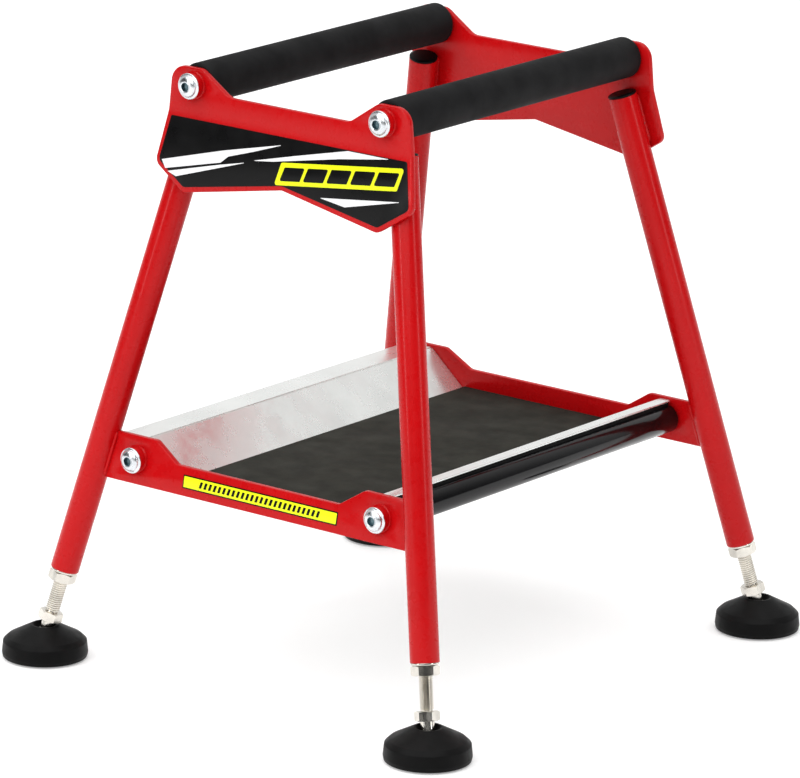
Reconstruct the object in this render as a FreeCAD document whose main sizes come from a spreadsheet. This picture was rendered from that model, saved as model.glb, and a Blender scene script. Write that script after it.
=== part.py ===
import FreeCAD, Part
import math
import os

import Sketcher

# A low four-legged work stand for a small motorcycle or its engine.
# Frame: origin on the floor under the middle of the stand, +Z up, +Y along
# the two top rails, +X towards the front.  "left" is -Y and "right" is +Y.
# Everything is in millimetres.

Vector = FreeCAD.Vector
Rotation = FreeCAD.Rotation

doc = FreeCAD.newDocument("WorkStand")
sizes = doc.addObject("Spreadsheet::Sheet", "Sizes")

DRIVING_SIZES = [
    # name, size, what it is
    ("tube_radius", 10.0, "outside radius of legs and cross tubes"),
    ("tube_wall", 1.5, "wall of every steel tube"),
    ("lean_x", 0.22, "leg slope along X, per unit of height"),
    ("lean_y", 0.1809, "leg slope along Y, per unit of height"),
    ("axis_x", 172.5, "leg axis X where it meets the floor"),
    ("axis_y", 192.2, "leg axis Y where it meets the floor"),
    ("ball_height", 16.0, "height of the ball joint in each foot"),
    ("ball_radius", 6.5, "ball at the lower end of a levelling stud"),
    ("socket_gap", 0.3, "gap between ball and socket"),
    ("leg_start", 49.5, "distance along the leg axis from ball to tube end"),
    ("leg_finish", 385.2, "distance along the leg axis from ball to tube top"),
    ("cap_flange", 2.0, "thickness of the black cap on a leg"),
    ("cap_plug", 14.0, "length of the cap inside the tube"),
    ("cap_skin", 1.0, "closed end of the cap's plug"),
    ("insert_flange", 1.5, "thickness of the threaded insert's flange"),
    ("insert_length", 22.0, "length of the insert inside the tube"),
    ("insert_step", 0.5, "how much the insert's flange is smaller than the tube"),
    ("fit_gap", 0.05, "radial running clearance of a thread or a shaft"),
    ("stud_radius", 5.0, "M10 levelling stud"),
    ("stud_top", 86.0, "upper end of the stud along the leg axis"),
    ("stud_chamfer", 1.0, "chamfer on the end of the stud"),
    ("collar_start", 10.9, "underside of the stud's hexagon"),
    ("collar_finish", 17.6, "top of the stud's hexagon"),
    ("collar_flats", 15.0, "width across flats of the stud's hexagon"),
    ("neck_radius", 4.8, "neck between ball and hexagon"),
    ("neck_start", 4.0, "lower end of the neck, inside the ball"),
    ("nut_start", 40.9, "underside of the lock nut"),
    ("nut_height", 6.9, "height of the lock nut"),
    ("nut_flats", 17.0, "width across flats of the lock nut"),
    ("foot_radius", 30.0, "outside radius of a foot pad"),
    ("foot_draft", 0.6, "how far a foot pad narrows at its lower edge"),
    ("foot_lift", 1.0, "height of the hard pad above the floor"),
    ("foot_wide_z", 4.0, "height at which a foot pad is widest"),
    ("rim_radius", 29.2, "radius at the top of the foot pad's rim"),
    ("rim_z", 12.0, "height of the foot pad's rim"),
    ("shoulder_radius", 26.0, "radius above the foot pad's shoulder"),
    ("shoulder_z", 15.0, "height of the foot pad's shoulder"),
    ("foot_top", 23.5, "height of the foot pad"),
    ("foot_neck", 9.8, "radius of the foot pad's top"),
    ("throat_rise", 3.0, "height of the socket's throat above the ball's middle"),
    ("mouth_radius", 8.6, "radius of the socket's mouth"),
    ("pad_radius", 25.0, "non-slip disc under the foot"),
    ("pad_thick", 4.0, "thickness of the non-slip disc"),
    ("pad_gap", 0.2, "gap round the non-slip disc"),
    ("plate_thick", 4.0, "thickness of the side plates"),
    ("bend_z", 391.0, "height of the bend in an upper plate"),
    ("ear_top", 422.8, "top of an upper plate's ears"),
    ("ear_inner_x", 76.0, "inner corner of an upper ear"),
    ("ear_outer_x", 101.8, "outer corner of an upper ear"),
    ("valley_x", 51.5, "half width of an upper plate's valley"),
    ("valley_z", 406.5, "height of an upper plate's valley"),
    ("bend_x", 105.0, "half width of an upper plate at its bend"),
    ("wing_x", 111.3, "half width of an upper plate at its widest"),
    ("wing_z", 354.6, "height of an upper plate's widest point"),
    ("toe_x", 84.0, "half distance between the two lowest points"),
    ("toe_z", 337.5, "height of an upper plate's lowest points"),
    ("arch_z", 352.3, "height of the arch in an upper plate's lower edge"),
    ("valley_round", 12.0, "rounding at the ends of an upper plate's valley"),
    ("ear_inner_round", 9.0, "rounding of an upper ear's inner corner"),
    ("ear_outer_round", 12.0, "rounding of an upper ear's outer corner"),
    ("panel_round", 7.0, "rounding of an upper plate's lower corners"),
    ("top_bolt_x", 82.3, "half distance between the two top rails"),
    ("top_bolt_z", 411.1, "height of the top rails"),
    ("top_seat_y", 141.4, "bolt head seat on an upper boss"),
    ("sleeve_radius", 14.4, "outside radius of a top rail's rubber sleeve"),
    ("lower_bolt_x", 106.7, "half distance between the two cross tubes"),
    ("lower_bolt_z", 149.6, "height of the cross tubes"),
    ("lower_seat_y", 170.9, "bolt head seat on a lower boss"),
    ("boss_radius", 8.5, "boss welded through a side plate"),
    ("boss_hole", 4.25, "bolt hole through a boss"),
    ("thread_radius", 4.0, "M8 bolt"),
    ("bolt_reach", 24.0, "length of a bolt under its head"),
    ("flange_radius", 9.0, "bolt head flange"),
    ("flange_thick", 1.3, "thickness of the bolt head flange"),
    ("dome_radius", 7.3, "bolt head"),
    ("dome_side", 1.2, "straight side of a bolt head above its flange"),
    ("dome_height", 4.6, "height of a bolt head with its flange"),
    ("crown_share", 0.6, "share of the dome's height below its crown"),
    ("crown_width", 0.84, "radius of the crown over that of the head"),
    ("top_width", 0.6, "radius of the flat top over that of the head"),
    ("key_flats", 6.0, "width across flats of the hexagon socket"),
    ("key_depth", 3.0, "depth of the hexagon socket"),
    ("plug_length", 20.0, "threaded plug in the end of a tube"),
    ("rib_top", 165.0, "top of a lower plate's ears"),
    ("rib_ear_x", 91.0, "inner corner of a lower plate's ear"),
    ("rib_foot_x", 70.5, "foot of the slope of a lower plate's ear"),
    ("rib_valley", 152.0, "height of a lower plate between its ears"),
    ("rib_base", 132.3, "lower edge of a lower plate"),
    ("rib_set", 0.3, "lower plate's outer face outside the leg axes"),
    ("rib_round", 6.0, "rounding of a lower plate's upper edge"),
    ("end_gap", 0.1, "gap between the end of a tube and the plate"),
    ("sheet", 1.5, "thickness of the tray sheet"),
    ("tray_shift", -1.4, "X of the tray's middle"),
    ("tray_half_floor", 76.2, "half width of the tray floor"),
    ("tray_half_fold", 102.1, "half width between the upper folds"),
    ("rear_flange", 22.0, "width of the tray's rear flange"),
    ("front_flange", 8.8, "width of the tray's front flange"),
    ("tray_floor_z", 136.0, "top of the tray floor"),
    ("tray_top_z", 163.5, "top of the tray flanges"),
    ("tray_gap", 0.4, "gap between the tray and the side plates"),
    ("mat_thick", 2.0, "thickness of the tray mat"),
    ("mat_edge", 1.0, "distance of the mat from the foot of the wall"),
    ("strip_width", 7.0, "width of the seat strip on a cross tube"),
    ("strip_set", 1.2, "seat strip's inner edge outside the tray's fold"),
    ("strip_short", 2.0, "how far a seat strip stops short of its tube's end"),
    ("strip_gap", 0.01, "gap between a seat strip and its tube"),
    ("decal_thick", 0.3, "thickness of the stickers"),
    ("decal_top", 387.5, "upper edge of the plate sticker"),
    ("decal_margin", 3.2, "bare edge below and beside the plate sticker"),
    ("label_x", 4.0, "X of the middle of the yellow strip"),
    ("label_length", 135.0, "length of the yellow strip"),
    ("label_low", 137.9, "lower edge of the yellow strip"),
    ("label_high", 147.0, "upper edge of the yellow strip"),
    ("spare", 10.0, "how far a rough section reaches past its trimmed outline"),
    ("trim_top", 500.0, "upper edge of the rectangle that trims a plate"),
]

for row, (name, number, note) in enumerate(DRIVING_SIZES, start=1):
    sizes.set(f"A{row}", name)
    sizes.set(f"B{row}", str(number))
    sizes.set(f"C{row}", note)
    sizes.setAlias(f"B{row}", name)
doc.recompute()


def size(name):
    return float(sizes.get(name))


SIDES = {"left": -1, "right": 1}
ENDS = {"rear": -1, "front": 1}
CORNERS = {
    "front_left": (1, -1),
    "rear_left": (-1, -1),
    "front_right": (1, 1),
    "rear_right": (-1, 1),
}
SUB_PARTS = []

# Leg axis Y at height z, as an expression on the sheet.
AXIS_Y = "(Sizes.axis_y - Sizes.lean_y * ({z}))"
# Offset along Y that moves a leaning face by one unit along its own normal.
LEAN_STRETCH = "sqrt(1 + Sizes.lean_y ^ 2)"
# A length that reaches past both ends of a side plate.
PLATE_SPAN = "2 * Sizes.axis_x"


# ---------------------------------------------------------------- helpers

def new_body(label, sub_part=True):
    body = doc.addObject("PartDesign::Body", label)
    body.Label = label
    if sub_part:
        SUB_PARTS.append(body)
    return body


def bind(thing, **expressions):
    """Bind properties of a feature to expressions on the sheet."""
    for name, expression in expressions.items():
        thing.setExpression(name, str(expression))


def stack(body, kind, start=0, axis=None, **expressions):
    """Add a PartDesign primitive whose base is 'start' along the body's Z axis,
    or one with the given Placement."""
    feature = body.newObject(f"PartDesign::{kind}", f"{body.Label}_{kind}")
    if axis is None:
        feature.setExpression(".Placement.Base.z", str(start))
    else:
        feature.Placement = axis
    bind(feature, **expressions)
    return feature


def disc(body, radius, start, finish, cut=False):
    kind = "SubtractiveCylinder" if cut else "AdditiveCylinder"
    height = f"({finish}) - ({start})"
    return stack(body, kind, start, Radius=radius, Height=height)


def cone(body, low_radius, high_radius, start, finish, cut=False):
    kind = "SubtractiveCone" if cut else "AdditiveCone"
    height = f"({finish}) - ({start})"
    return stack(body, kind, start, Radius1=low_radius, Radius2=high_radius, Height=height)


def hexagon(body, flats, start, finish, cut=False):
    kind = "SubtractivePrism" if cut else "AdditivePrism"
    height = f"({finish}) - ({start})"
    prism = stack(body, kind, start, Circumradius=f"({flats}) / sqrt(3)", Height=height)
    prism.Polygon = 6
    return prism


def outline_sketch(body, plane, corners, name):
    """Closed outline whose corners are pairs of expressions on the sheet."""
    sketch = body.newObject("Sketcher::SketchObject", f"{body.Label}_{name}")
    support = [item for item in body.Origin.OriginFeatures if item.Role == plane][0]
    sketch.AttachmentSupport = [(support, "")]
    sketch.MapMode = "FlatFace"
    points = [Vector(evaluate(x), evaluate(y), 0) for x, y in corners]
    count = len(points)
    for index in range(count):
        line = Part.LineSegment(points[index], points[(index + 1) % count])
        sketch.addGeometry(line, False)
    for index in range(count):
        sketch.addConstraint(Sketcher.Constraint("Coincident", index, 2, (index + 1) % count, 1))
    for index, pair in enumerate(corners):
        start = (points[index].x, points[index].y)
        for kind, number, expression in zip(("DistanceX", "DistanceY"), start, pair):
            place = sketch.addConstraint(Sketcher.Constraint(kind, -1, 1, index, 1, number))
            sketch.setExpression(f"Constraints[{place}]", str(expression))
    return sketch


def evaluate(expression):
    """Value of an expression on the sheet."""
    result = sizes.evalExpression(str(expression))
    return float(getattr(result, "Value", result))


def pad_both_ways(body, sketch, length):
    pad = body.newObject("PartDesign::Pad", f"{body.Label}_pad")
    pad.Profile = sketch
    pad.SideType = "Symmetric"
    pad.setExpression("Length", str(length))
    return pad


def cut_both_ways(body, sketch, name):
    """Pocket right through the body on both sides of the sketch."""
    doc.recompute()
    before = body.Shape.Volume
    pocket = body.newObject("PartDesign::Pocket", f"{body.Label}_{name}")
    pocket.Profile = sketch
    pocket.SideType = "Symmetric"
    pocket.Type = "ThroughAll"
    doc.recompute()
    if body.Shape.Volume >= before:
        raise RuntimeError(f"{pocket.Name} cuts nothing")
    return pocket


def round_corners(body, plane_axes, corners, radius, name):
    """Fillet the straight edges that stand on the given corners of an outline."""
    doc.recompute()
    first, second = plane_axes
    chosen = []
    for number, edge in enumerate(body.Shape.Edges, start=1):
        ends = [vertex.Point for vertex in edge.Vertexes]
        if len(ends) != 2:
            continue
        for x, z in corners:
            offsets = [math.hypot(end[first] - evaluate(x), end[second] - evaluate(z)) for end in ends]
            if max(offsets) < 0.01:
                chosen.append(f"Edge{number}")
    if len(chosen) != len(corners):
        raise RuntimeError(f"{body.Label}: {len(chosen)} edges for {len(corners)} corners")
    base = body.Tip
    fillet = body.newObject("PartDesign::Fillet", f"{body.Label}_{name}")
    fillet.Base = (base, chosen)
    fillet.setExpression("Radius", str(radius))
    body.Tip = fillet
    doc.recompute()
    return fillet


def both(corners):
    """An outline's right half and its mirror image, as one closed outline."""
    mirrored = [(f"-({x})", z) for x, z in reversed(corners) if str(x) != "0"]
    return corners + mirrored


def both_sides(corners):
    return corners + [(f"-({x})", z) for x, z in corners]


def along_y(side, x, y, z):
    """Placement whose Z axis points outwards along Y on the given side."""
    turn = Rotation(Vector(0, 0, 1), Vector(0, side, 0))
    return FreeCAD.Placement(Vector(x, side * y, z), turn)


def leg_placement(corner):
    """Placement at a foot's ball joint with Z up the leg axis."""
    front, right = CORNERS[corner]
    height = size("ball_height")
    base = Vector(
        front * (size("axis_x") - size("lean_x") * height),
        right * (size("axis_y") - size("lean_y") * height),
        height,
    )
    up = Vector(-front * size("lean_x"), -right * size("lean_y"), 1)
    return FreeCAD.Placement(base, Rotation(Vector(0, 0, 1), up))


def foot_placement(corner):
    """Placement on the floor under a foot's ball joint."""
    ball = leg_placement(corner).Base
    return FreeCAD.Placement(Vector(ball.x, ball.y, 0), Rotation())


def group(label, pieces):
    """One sub-part made of several identical pieces."""
    compound = doc.addObject("Part::Compound", label)
    compound.Label = label
    compound.Links = pieces
    SUB_PARTS.append(compound)
    return compound


def wall_y(z, outwards):
    """Y of a leaning face, at height z, that lies 'outwards' from the leg axes."""
    return f"{AXIS_Y.format(z=z)} + ({outwards})"


# ---------------------------------------------------------------- legs and feet

def make_leg(corner):
    body = new_body(f"leg_{corner}")
    disc(body, "Sizes.tube_radius", "Sizes.leg_start", "Sizes.leg_finish")
    disc(body, "Sizes.tube_radius - Sizes.tube_wall", "Sizes.leg_start", "Sizes.leg_finish", cut=True)
    body.Placement = leg_placement(corner)


def make_leg_cap(corner):
    body = new_body(f"leg_cap_{corner}")
    plug_base = "Sizes.leg_finish - Sizes.cap_plug"
    plug_radius = "Sizes.tube_radius - Sizes.tube_wall - Sizes.fit_gap"
    disc(body, plug_radius, plug_base, "Sizes.leg_finish")
    disc(body, "Sizes.tube_radius", "Sizes.leg_finish", "Sizes.leg_finish + Sizes.cap_flange")
    cavity_top = "Sizes.leg_finish - Sizes.cap_skin"
    disc(body, "Sizes.tube_radius - 2 * Sizes.tube_wall", plug_base, cavity_top, cut=True)
    body.Placement = leg_placement(corner)


def make_leg_insert(corner):
    body = new_body(f"leg_insert_{corner}")
    flange_base = "Sizes.leg_start - Sizes.insert_flange"
    insert_top = "Sizes.leg_start + Sizes.insert_length"
    disc(body, "Sizes.tube_radius - Sizes.insert_step", flange_base, "Sizes.leg_start")
    disc(body, "Sizes.tube_radius - Sizes.tube_wall - Sizes.fit_gap", "Sizes.leg_start", insert_top)
    disc(body, "Sizes.stud_radius + Sizes.fit_gap", flange_base, insert_top, cut=True)
    body.Placement = leg_placement(corner)


def make_foot_stud(corner):
    """Levelling stud: ball, neck, hexagon and M10 thread in one piece."""
    body = new_body(f"foot_stud_{corner}")
    chamfer_start = "Sizes.stud_top - Sizes.stud_chamfer"
    tip_radius = "Sizes.stud_radius - Sizes.stud_chamfer"
    stack(body, "AdditiveSphere", Radius="Sizes.ball_radius")
    disc(body, "Sizes.neck_radius", "Sizes.neck_start", "Sizes.collar_start")
    hexagon(body, "Sizes.collar_flats", "Sizes.collar_start", "Sizes.collar_finish")
    disc(body, "Sizes.stud_radius", "Sizes.collar_finish", chamfer_start)
    cone(body, "Sizes.stud_radius", tip_radius, chamfer_start, "Sizes.stud_top")
    body.Placement = leg_placement(corner)


def make_lock_nut(corner):
    body = new_body(f"lock_nut_{corner}")
    top = "Sizes.nut_start + Sizes.nut_height"
    hexagon(body, "Sizes.nut_flats", "Sizes.nut_start", top)
    disc(body, "Sizes.stud_radius + Sizes.fit_gap", "Sizes.nut_start", top, cut=True)
    body.Placement = leg_placement(corner)


def make_foot_pad(corner):
    """Round foot: rim, sloping shoulder and a socket for the ball."""
    body = new_body(f"foot_pad_{corner}")
    profile = [
        ("Sizes.foot_radius - Sizes.foot_draft", "Sizes.foot_lift"),
        ("Sizes.foot_radius", "Sizes.foot_wide_z"),
        ("Sizes.rim_radius", "Sizes.rim_z"),
        ("Sizes.shoulder_radius", "Sizes.shoulder_z"),
        ("Sizes.foot_neck", "Sizes.foot_top"),
    ]
    for (low_radius, low), (high_radius, high) in zip(profile, profile[1:]):
        cone(body, low_radius, high_radius, low, high)
    disc(body, "Sizes.pad_radius + Sizes.pad_gap", "0", "Sizes.pad_thick", cut=True)
    socket = "Sizes.ball_radius + Sizes.socket_gap"
    stack(body, "SubtractiveSphere", "Sizes.ball_height", Radius=socket)
    throat_radius = f"sqrt(({socket}) ^ 2 - Sizes.throat_rise ^ 2)"
    throat_z = "Sizes.ball_height + Sizes.throat_rise"
    cone(body, throat_radius, "Sizes.mouth_radius", throat_z, "Sizes.foot_top", cut=True)
    body.Placement = foot_placement(corner)


def make_foot_grip(corner):
    body = new_body(f"foot_grip_{corner}")
    disc(body, "Sizes.pad_radius", "0", "Sizes.pad_thick")
    body.Placement = foot_placement(corner)


# ---------------------------------------------------------------- upper side plates

UPPER_CORNERS = [
    ("0", "Sizes.valley_z"),
    ("Sizes.valley_x", "Sizes.valley_z"),
    ("Sizes.ear_inner_x", "Sizes.ear_top"),
    ("Sizes.ear_outer_x", "Sizes.ear_top"),
    ("Sizes.bend_x", "Sizes.bend_z"),
    ("Sizes.wing_x", "Sizes.wing_z"),
    ("Sizes.toe_x", "Sizes.toe_z"),
    ("0", "Sizes.arch_z"),
]
EAR_OUTER_Y = wall_y("Sizes.bend_z", f"(Sizes.tube_radius + Sizes.plate_thick) * {LEAN_STRETCH}")
EAR_INNER_Y = f"{EAR_OUTER_Y} - Sizes.plate_thick"


# A large rectangle, for cutting away all that lies outside an outline.
TRIM_FRAME = [
    (f"-{PLATE_SPAN}", "0"),
    (PLATE_SPAN, "0"),
    (PLATE_SPAN, "Sizes.trim_top"),
    (f"-{PLATE_SPAN}", "Sizes.trim_top"),
]


def keep_inside(body, corners, name):
    """Cut away everything outside an outline drawn in the XZ plane."""
    sketch = outline_sketch(body, "XZ_Plane", corners, name)
    count = len(corners)
    points = [Vector(evaluate(x), evaluate(z), 0) for x, z in TRIM_FRAME]
    for index in range(4):
        sketch.addGeometry(Part.LineSegment(points[index], points[(index + 1) % 4]), False)
    for index in range(4):
        this, following = count + index, count + (index + 1) % 4
        sketch.addConstraint(Sketcher.Constraint("Coincident", this, 2, following, 1))
        for kind, number, expression in zip(("DistanceX", "DistanceY"), points[index], TRIM_FRAME[index]):
            place = sketch.addConstraint(Sketcher.Constraint(kind, -1, 1, this, 1, number))
            sketch.setExpression(f"Constraints[{place}]", str(expression))
    cut_both_ways(body, sketch, f"{name}_cut")


def bore_along_y(body, radius, spots):
    """Holes right through the body along Y at the given pairs of X and Z."""
    for x, z in spots:
        axis = FreeCAD.Placement(Vector(x, 0, z), Rotation(Vector(1, 0, 0), 90))
        axis.Base.y = size("axis_y") * 2
        stack(body, "SubtractiveCylinder", axis=axis, Radius=radius, Height="4 * Sizes.axis_y")


def make_upper_plate(side):
    """Plate bent along a level line: upright ears above, a leaning panel below."""
    sign = SIDES[side]
    body = new_body(f"upper_plate_{side}")
    lowest = "Sizes.toe_z - Sizes.spare"
    highest = "Sizes.ear_top + Sizes.spare"
    panel_outer = f"(Sizes.tube_radius + Sizes.plate_thick) * {LEAN_STRETCH}"
    panel_inner = f"Sizes.tube_radius * {LEAN_STRETCH}"
    inner_bend = f"(Sizes.axis_y + {panel_inner} - ({EAR_INNER_Y})) / Sizes.lean_y"
    section = [
        (EAR_OUTER_Y, "Sizes.bend_z"),
        (EAR_OUTER_Y, highest),
        (EAR_INNER_Y, highest),
        (EAR_INNER_Y, inner_bend),
        (wall_y(lowest, panel_inner), lowest),
        (wall_y(lowest, panel_outer), lowest),
    ]
    signed = [(f"{sign} * ({y})", z) for y, z in section]
    sketch = outline_sketch(body, "YZ_Plane", signed, "section")
    pad_both_ways(body, sketch, PLATE_SPAN)
    keep_inside(body, both(UPPER_CORNERS), "outline")
    spots = [(end * size("top_bolt_x"), size("top_bolt_z")) for end in ENDS.values()]
    bore_along_y(body, "Sizes.boss_radius", spots)
    axes = (0, 2)
    round_corners(body, axes, both_sides([UPPER_CORNERS[1]]), "Sizes.valley_round", "valley_round")
    round_corners(body, axes, both_sides([UPPER_CORNERS[2]]), "Sizes.ear_inner_round", "inner_round")
    round_corners(body, axes, both_sides([UPPER_CORNERS[3]]), "Sizes.ear_outer_round", "outer_round")
    round_corners(body, axes, both_sides(UPPER_CORNERS[5:7]), "Sizes.panel_round", "panel_round")


# ---------------------------------------------------------------- lower side plates

RIB_CORNERS = [
    ("0", "Sizes.rib_valley"),
    ("Sizes.rib_foot_x", "Sizes.rib_valley"),
    ("Sizes.rib_ear_x", "Sizes.rib_top"),
    ("Sizes.axis_x - Sizes.lean_x * Sizes.rib_top", "Sizes.rib_top"),
    ("Sizes.axis_x - Sizes.lean_x * Sizes.rib_base", "Sizes.rib_base"),
]


def make_lower_plate(side):
    """Plate between two legs, in their leaning plane, cut to the tubes' curve."""
    sign = SIDES[side]
    body = new_body(f"lower_plate_{side}")
    low, high = "Sizes.rib_base - Sizes.spare", "Sizes.rib_top + Sizes.spare"
    outer, inner = "Sizes.rib_set", "Sizes.rib_set - Sizes.plate_thick"
    section = [
        (wall_y(low, outer), low),
        (wall_y(high, outer), high),
        (wall_y(high, inner), high),
        (wall_y(low, inner), low),
    ]
    signed = [(f"{sign} * ({y})", z) for y, z in section]
    pad_both_ways(body, outline_sketch(body, "YZ_Plane", signed, "section"), PLATE_SPAN)
    keep_inside(body, both(RIB_CORNERS), "outline")
    spots = [(end * size("lower_bolt_x"), size("lower_bolt_z")) for end in ENDS.values()]
    bore_along_y(body, "Sizes.boss_radius", spots)
    tube = "Sizes.tube_radius + Sizes.fit_gap"
    for end_name in ENDS:
        axis = leg_placement(f"{end_name}_{side}")
        stack(body, "SubtractiveCylinder", axis=axis, Radius=tube, Height="Sizes.leg_finish")
    axes = (0, 2)
    round_corners(body, axes, both_sides([RIB_CORNERS[1]]), "Sizes.rib_round", "valley_round")
    round_corners(body, axes, both_sides([RIB_CORNERS[2]]), "Sizes.rib_round", "ear_round")


# ---------------------------------------------------------------- bosses, tubes and bolts

def make_boss(name, side, x, z, start, seat):
    """Round boss welded through a side plate, with a clear hole for the bolt."""
    body = new_body(name, sub_part=False)
    disc(body, "Sizes.boss_radius", "0", f"({seat}) - ({start})")
    disc(body, "Sizes.boss_hole", "0", f"({seat}) - ({start})", cut=True)
    body.Placement = along_y(SIDES[side], x, evaluate(start), z)
    return body


def make_bolt(name, side, x, z, seat):
    """Flanged button-head bolt with a hexagon socket, its head seated at 'seat'."""
    body = new_body(name, sub_part=False)
    reach = "-Sizes.bolt_reach"
    disc(body, "Sizes.thread_radius", reach, "0")
    disc(body, "Sizes.flange_radius", "0", "Sizes.flange_thick")
    shoulder = "(Sizes.flange_thick + Sizes.dome_side)"
    crown = f"{shoulder} + (Sizes.dome_height - {shoulder}) * Sizes.crown_share"
    crown_radius = "Sizes.dome_radius * Sizes.crown_width"
    top_radius = "Sizes.dome_radius * Sizes.top_width"
    disc(body, "Sizes.dome_radius", "Sizes.flange_thick", shoulder)
    cone(body, "Sizes.dome_radius", crown_radius, shoulder, crown)
    cone(body, crown_radius, top_radius, crown, "Sizes.dome_height")
    key_floor = "Sizes.dome_height - Sizes.key_depth"
    hexagon(body, "Sizes.key_flats", key_floor, "Sizes.dome_height", cut=True)
    body.Placement = along_y(SIDES[side], x, evaluate(seat), z)
    return body


def make_tube_plug(name, side, x, z, tube_end):
    """Threaded plug in the end of a cross tube or rail tube."""
    body = new_body(name, sub_part=False)
    bore = "Sizes.tube_radius - Sizes.tube_wall - Sizes.fit_gap"
    disc(body, bore, "-Sizes.plug_length", "0")
    disc(body, "Sizes.thread_radius + Sizes.fit_gap", "-Sizes.plug_length", "0", cut=True)
    body.Placement = along_y(SIDES[side], x, evaluate(tube_end), z)
    return body


def make_tube(label, x, z, half_length):
    """Round steel tube along Y with its middle at Y = 0."""
    body = new_body(label)
    length = f"2 * ({half_length})"
    disc(body, "Sizes.tube_radius", "0", length)
    disc(body, "Sizes.tube_radius - Sizes.tube_wall", "0", length, cut=True)
    body.Placement = along_y(1, x, -evaluate(half_length), z)


def make_sleeve(label, x, z, half_length):
    """Rubber sleeve pushed over a top rail tube."""
    body = new_body(label)
    length = f"2 * ({half_length})"
    disc(body, "Sizes.sleeve_radius", "0", length)
    disc(body, "Sizes.tube_radius + Sizes.fit_gap", "0", length, cut=True)
    body.Placement = along_y(1, x, -evaluate(half_length), z)


# The lower plates lean, so a square-cut cross tube ends where its top meets them.
TUBE_TOP = "Sizes.lower_bolt_z + Sizes.tube_radius"
CROSS_HALF = f"{wall_y(TUBE_TOP, 'Sizes.rib_set - Sizes.plate_thick')} - Sizes.end_gap"
RAIL_HALF = f"{EAR_INNER_Y} - Sizes.end_gap"
SLEEVE_HALF = f"{RAIL_HALF} - 2 * Sizes.end_gap"


def fasten(label, x_name, z_name, inner, seat):
    """Bosses, bolts and threaded plugs at the four ends of a pair of tubes."""
    bosses, bolts, plugs = [], [], []
    for side in SIDES:
        for end_name, end in ENDS.items():
            x = end * size(x_name)
            z = size(z_name)
            tail = f"{label}_{end_name}_{side}"
            bosses.append(make_boss(f"boss_{tail}", side, x, z, inner, seat))
            bolts.append(make_bolt(f"bolt_{tail}", side, x, z, seat))
            plugs.append(make_tube_plug(f"plug_{tail}", side, x, z, inner))
    for side, first in (("left", 0), ("right", 2)):
        group(f"{label}_bosses_{side}", bosses[first:first + 2])
    group(f"{label}_bolts", bolts)
    group(f"{label}_tube_plugs", plugs)


# ---------------------------------------------------------------- tray

def make_tray():
    """Sheet folded into a floor, two sloping walls and two flat flanges."""
    body = new_body("tray")
    floor, top, fold = "Sizes.tray_floor_z", "Sizes.tray_top_z", "Sizes.tray_half_fold"
    rise = f"(({top}) - ({floor}))"
    run = "(Sizes.tray_half_fold - Sizes.tray_half_floor)"
    slope_length = f"sqrt({rise} ^ 2 + {run} ^ 2)"
    # How far the under side of a fold lies from its upper side, along X.
    shift = f"Sizes.sheet * ({slope_length} - {run}) / {rise}"
    middle = "Sizes.tray_shift"
    rear_edge = f"({fold} + Sizes.rear_flange)"
    front_edge = f"({fold} + Sizes.front_flange)"
    upper = [
        (f"{middle} - {rear_edge}", top),
        (f"{middle} - {fold}", top),
        (f"{middle} - Sizes.tray_half_floor", floor),
        (f"{middle} + Sizes.tray_half_floor", floor),
        (f"{middle} + {fold}", top),
        (f"{middle} + {front_edge}", top),
    ]
    under_top = f"{top} - Sizes.sheet"
    under_floor = f"{floor} - Sizes.sheet"
    lower = [
        (f"{middle} + {front_edge}", under_top),
        (f"{middle} + {fold} + {shift}", under_top),
        (f"{middle} + Sizes.tray_half_floor + {shift}", under_floor),
        (f"{middle} - Sizes.tray_half_floor - {shift}", under_floor),
        (f"{middle} - {fold} - {shift}", under_top),
        (f"{middle} - {rear_edge}", under_top),
    ]
    sketch = outline_sketch(body, "XZ_Plane", upper + lower, "section")
    pad_both_ways(body, sketch, "2 * Sizes.axis_y")
    inner = "Sizes.rib_set - Sizes.plate_thick - Sizes.tray_gap"
    for side, sign in SIDES.items():
        low, high = "Sizes.rib_base - Sizes.spare", "Sizes.rib_top + Sizes.spare"
        far = "Sizes.axis_y + Sizes.spare"
        corners = [(wall_y(low, inner), low), (wall_y(high, inner), high), (far, high), (far, low)]
        signed = [(f"{sign} * ({y})", z) for y, z in corners]
        sketch = outline_sketch(body, "YZ_Plane", signed, f"end_{side}")
        cut_both_ways(body, sketch, f"end_cut_{side}")


def make_tray_mat():
    """Flat mat on the tray floor, its ends cut to the lean of the plates."""
    body = new_body("tray_mat")
    low, high = "Sizes.tray_floor_z", "Sizes.tray_floor_z + Sizes.mat_thick"
    inner = "Sizes.rib_set - Sizes.plate_thick - Sizes.tray_gap"
    reach = wall_y(high, inner)
    half = "(Sizes.tray_half_floor - Sizes.mat_edge)"
    corners = [
        (f"Sizes.tray_shift - {half}", low),
        (f"Sizes.tray_shift + {half}", low),
        (f"Sizes.tray_shift + {half}", high),
        (f"Sizes.tray_shift - {half}", high),
    ]
    sketch = outline_sketch(body, "XZ_Plane", corners, "section")
    pad_both_ways(body, sketch, f"2 * ({reach})")


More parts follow.
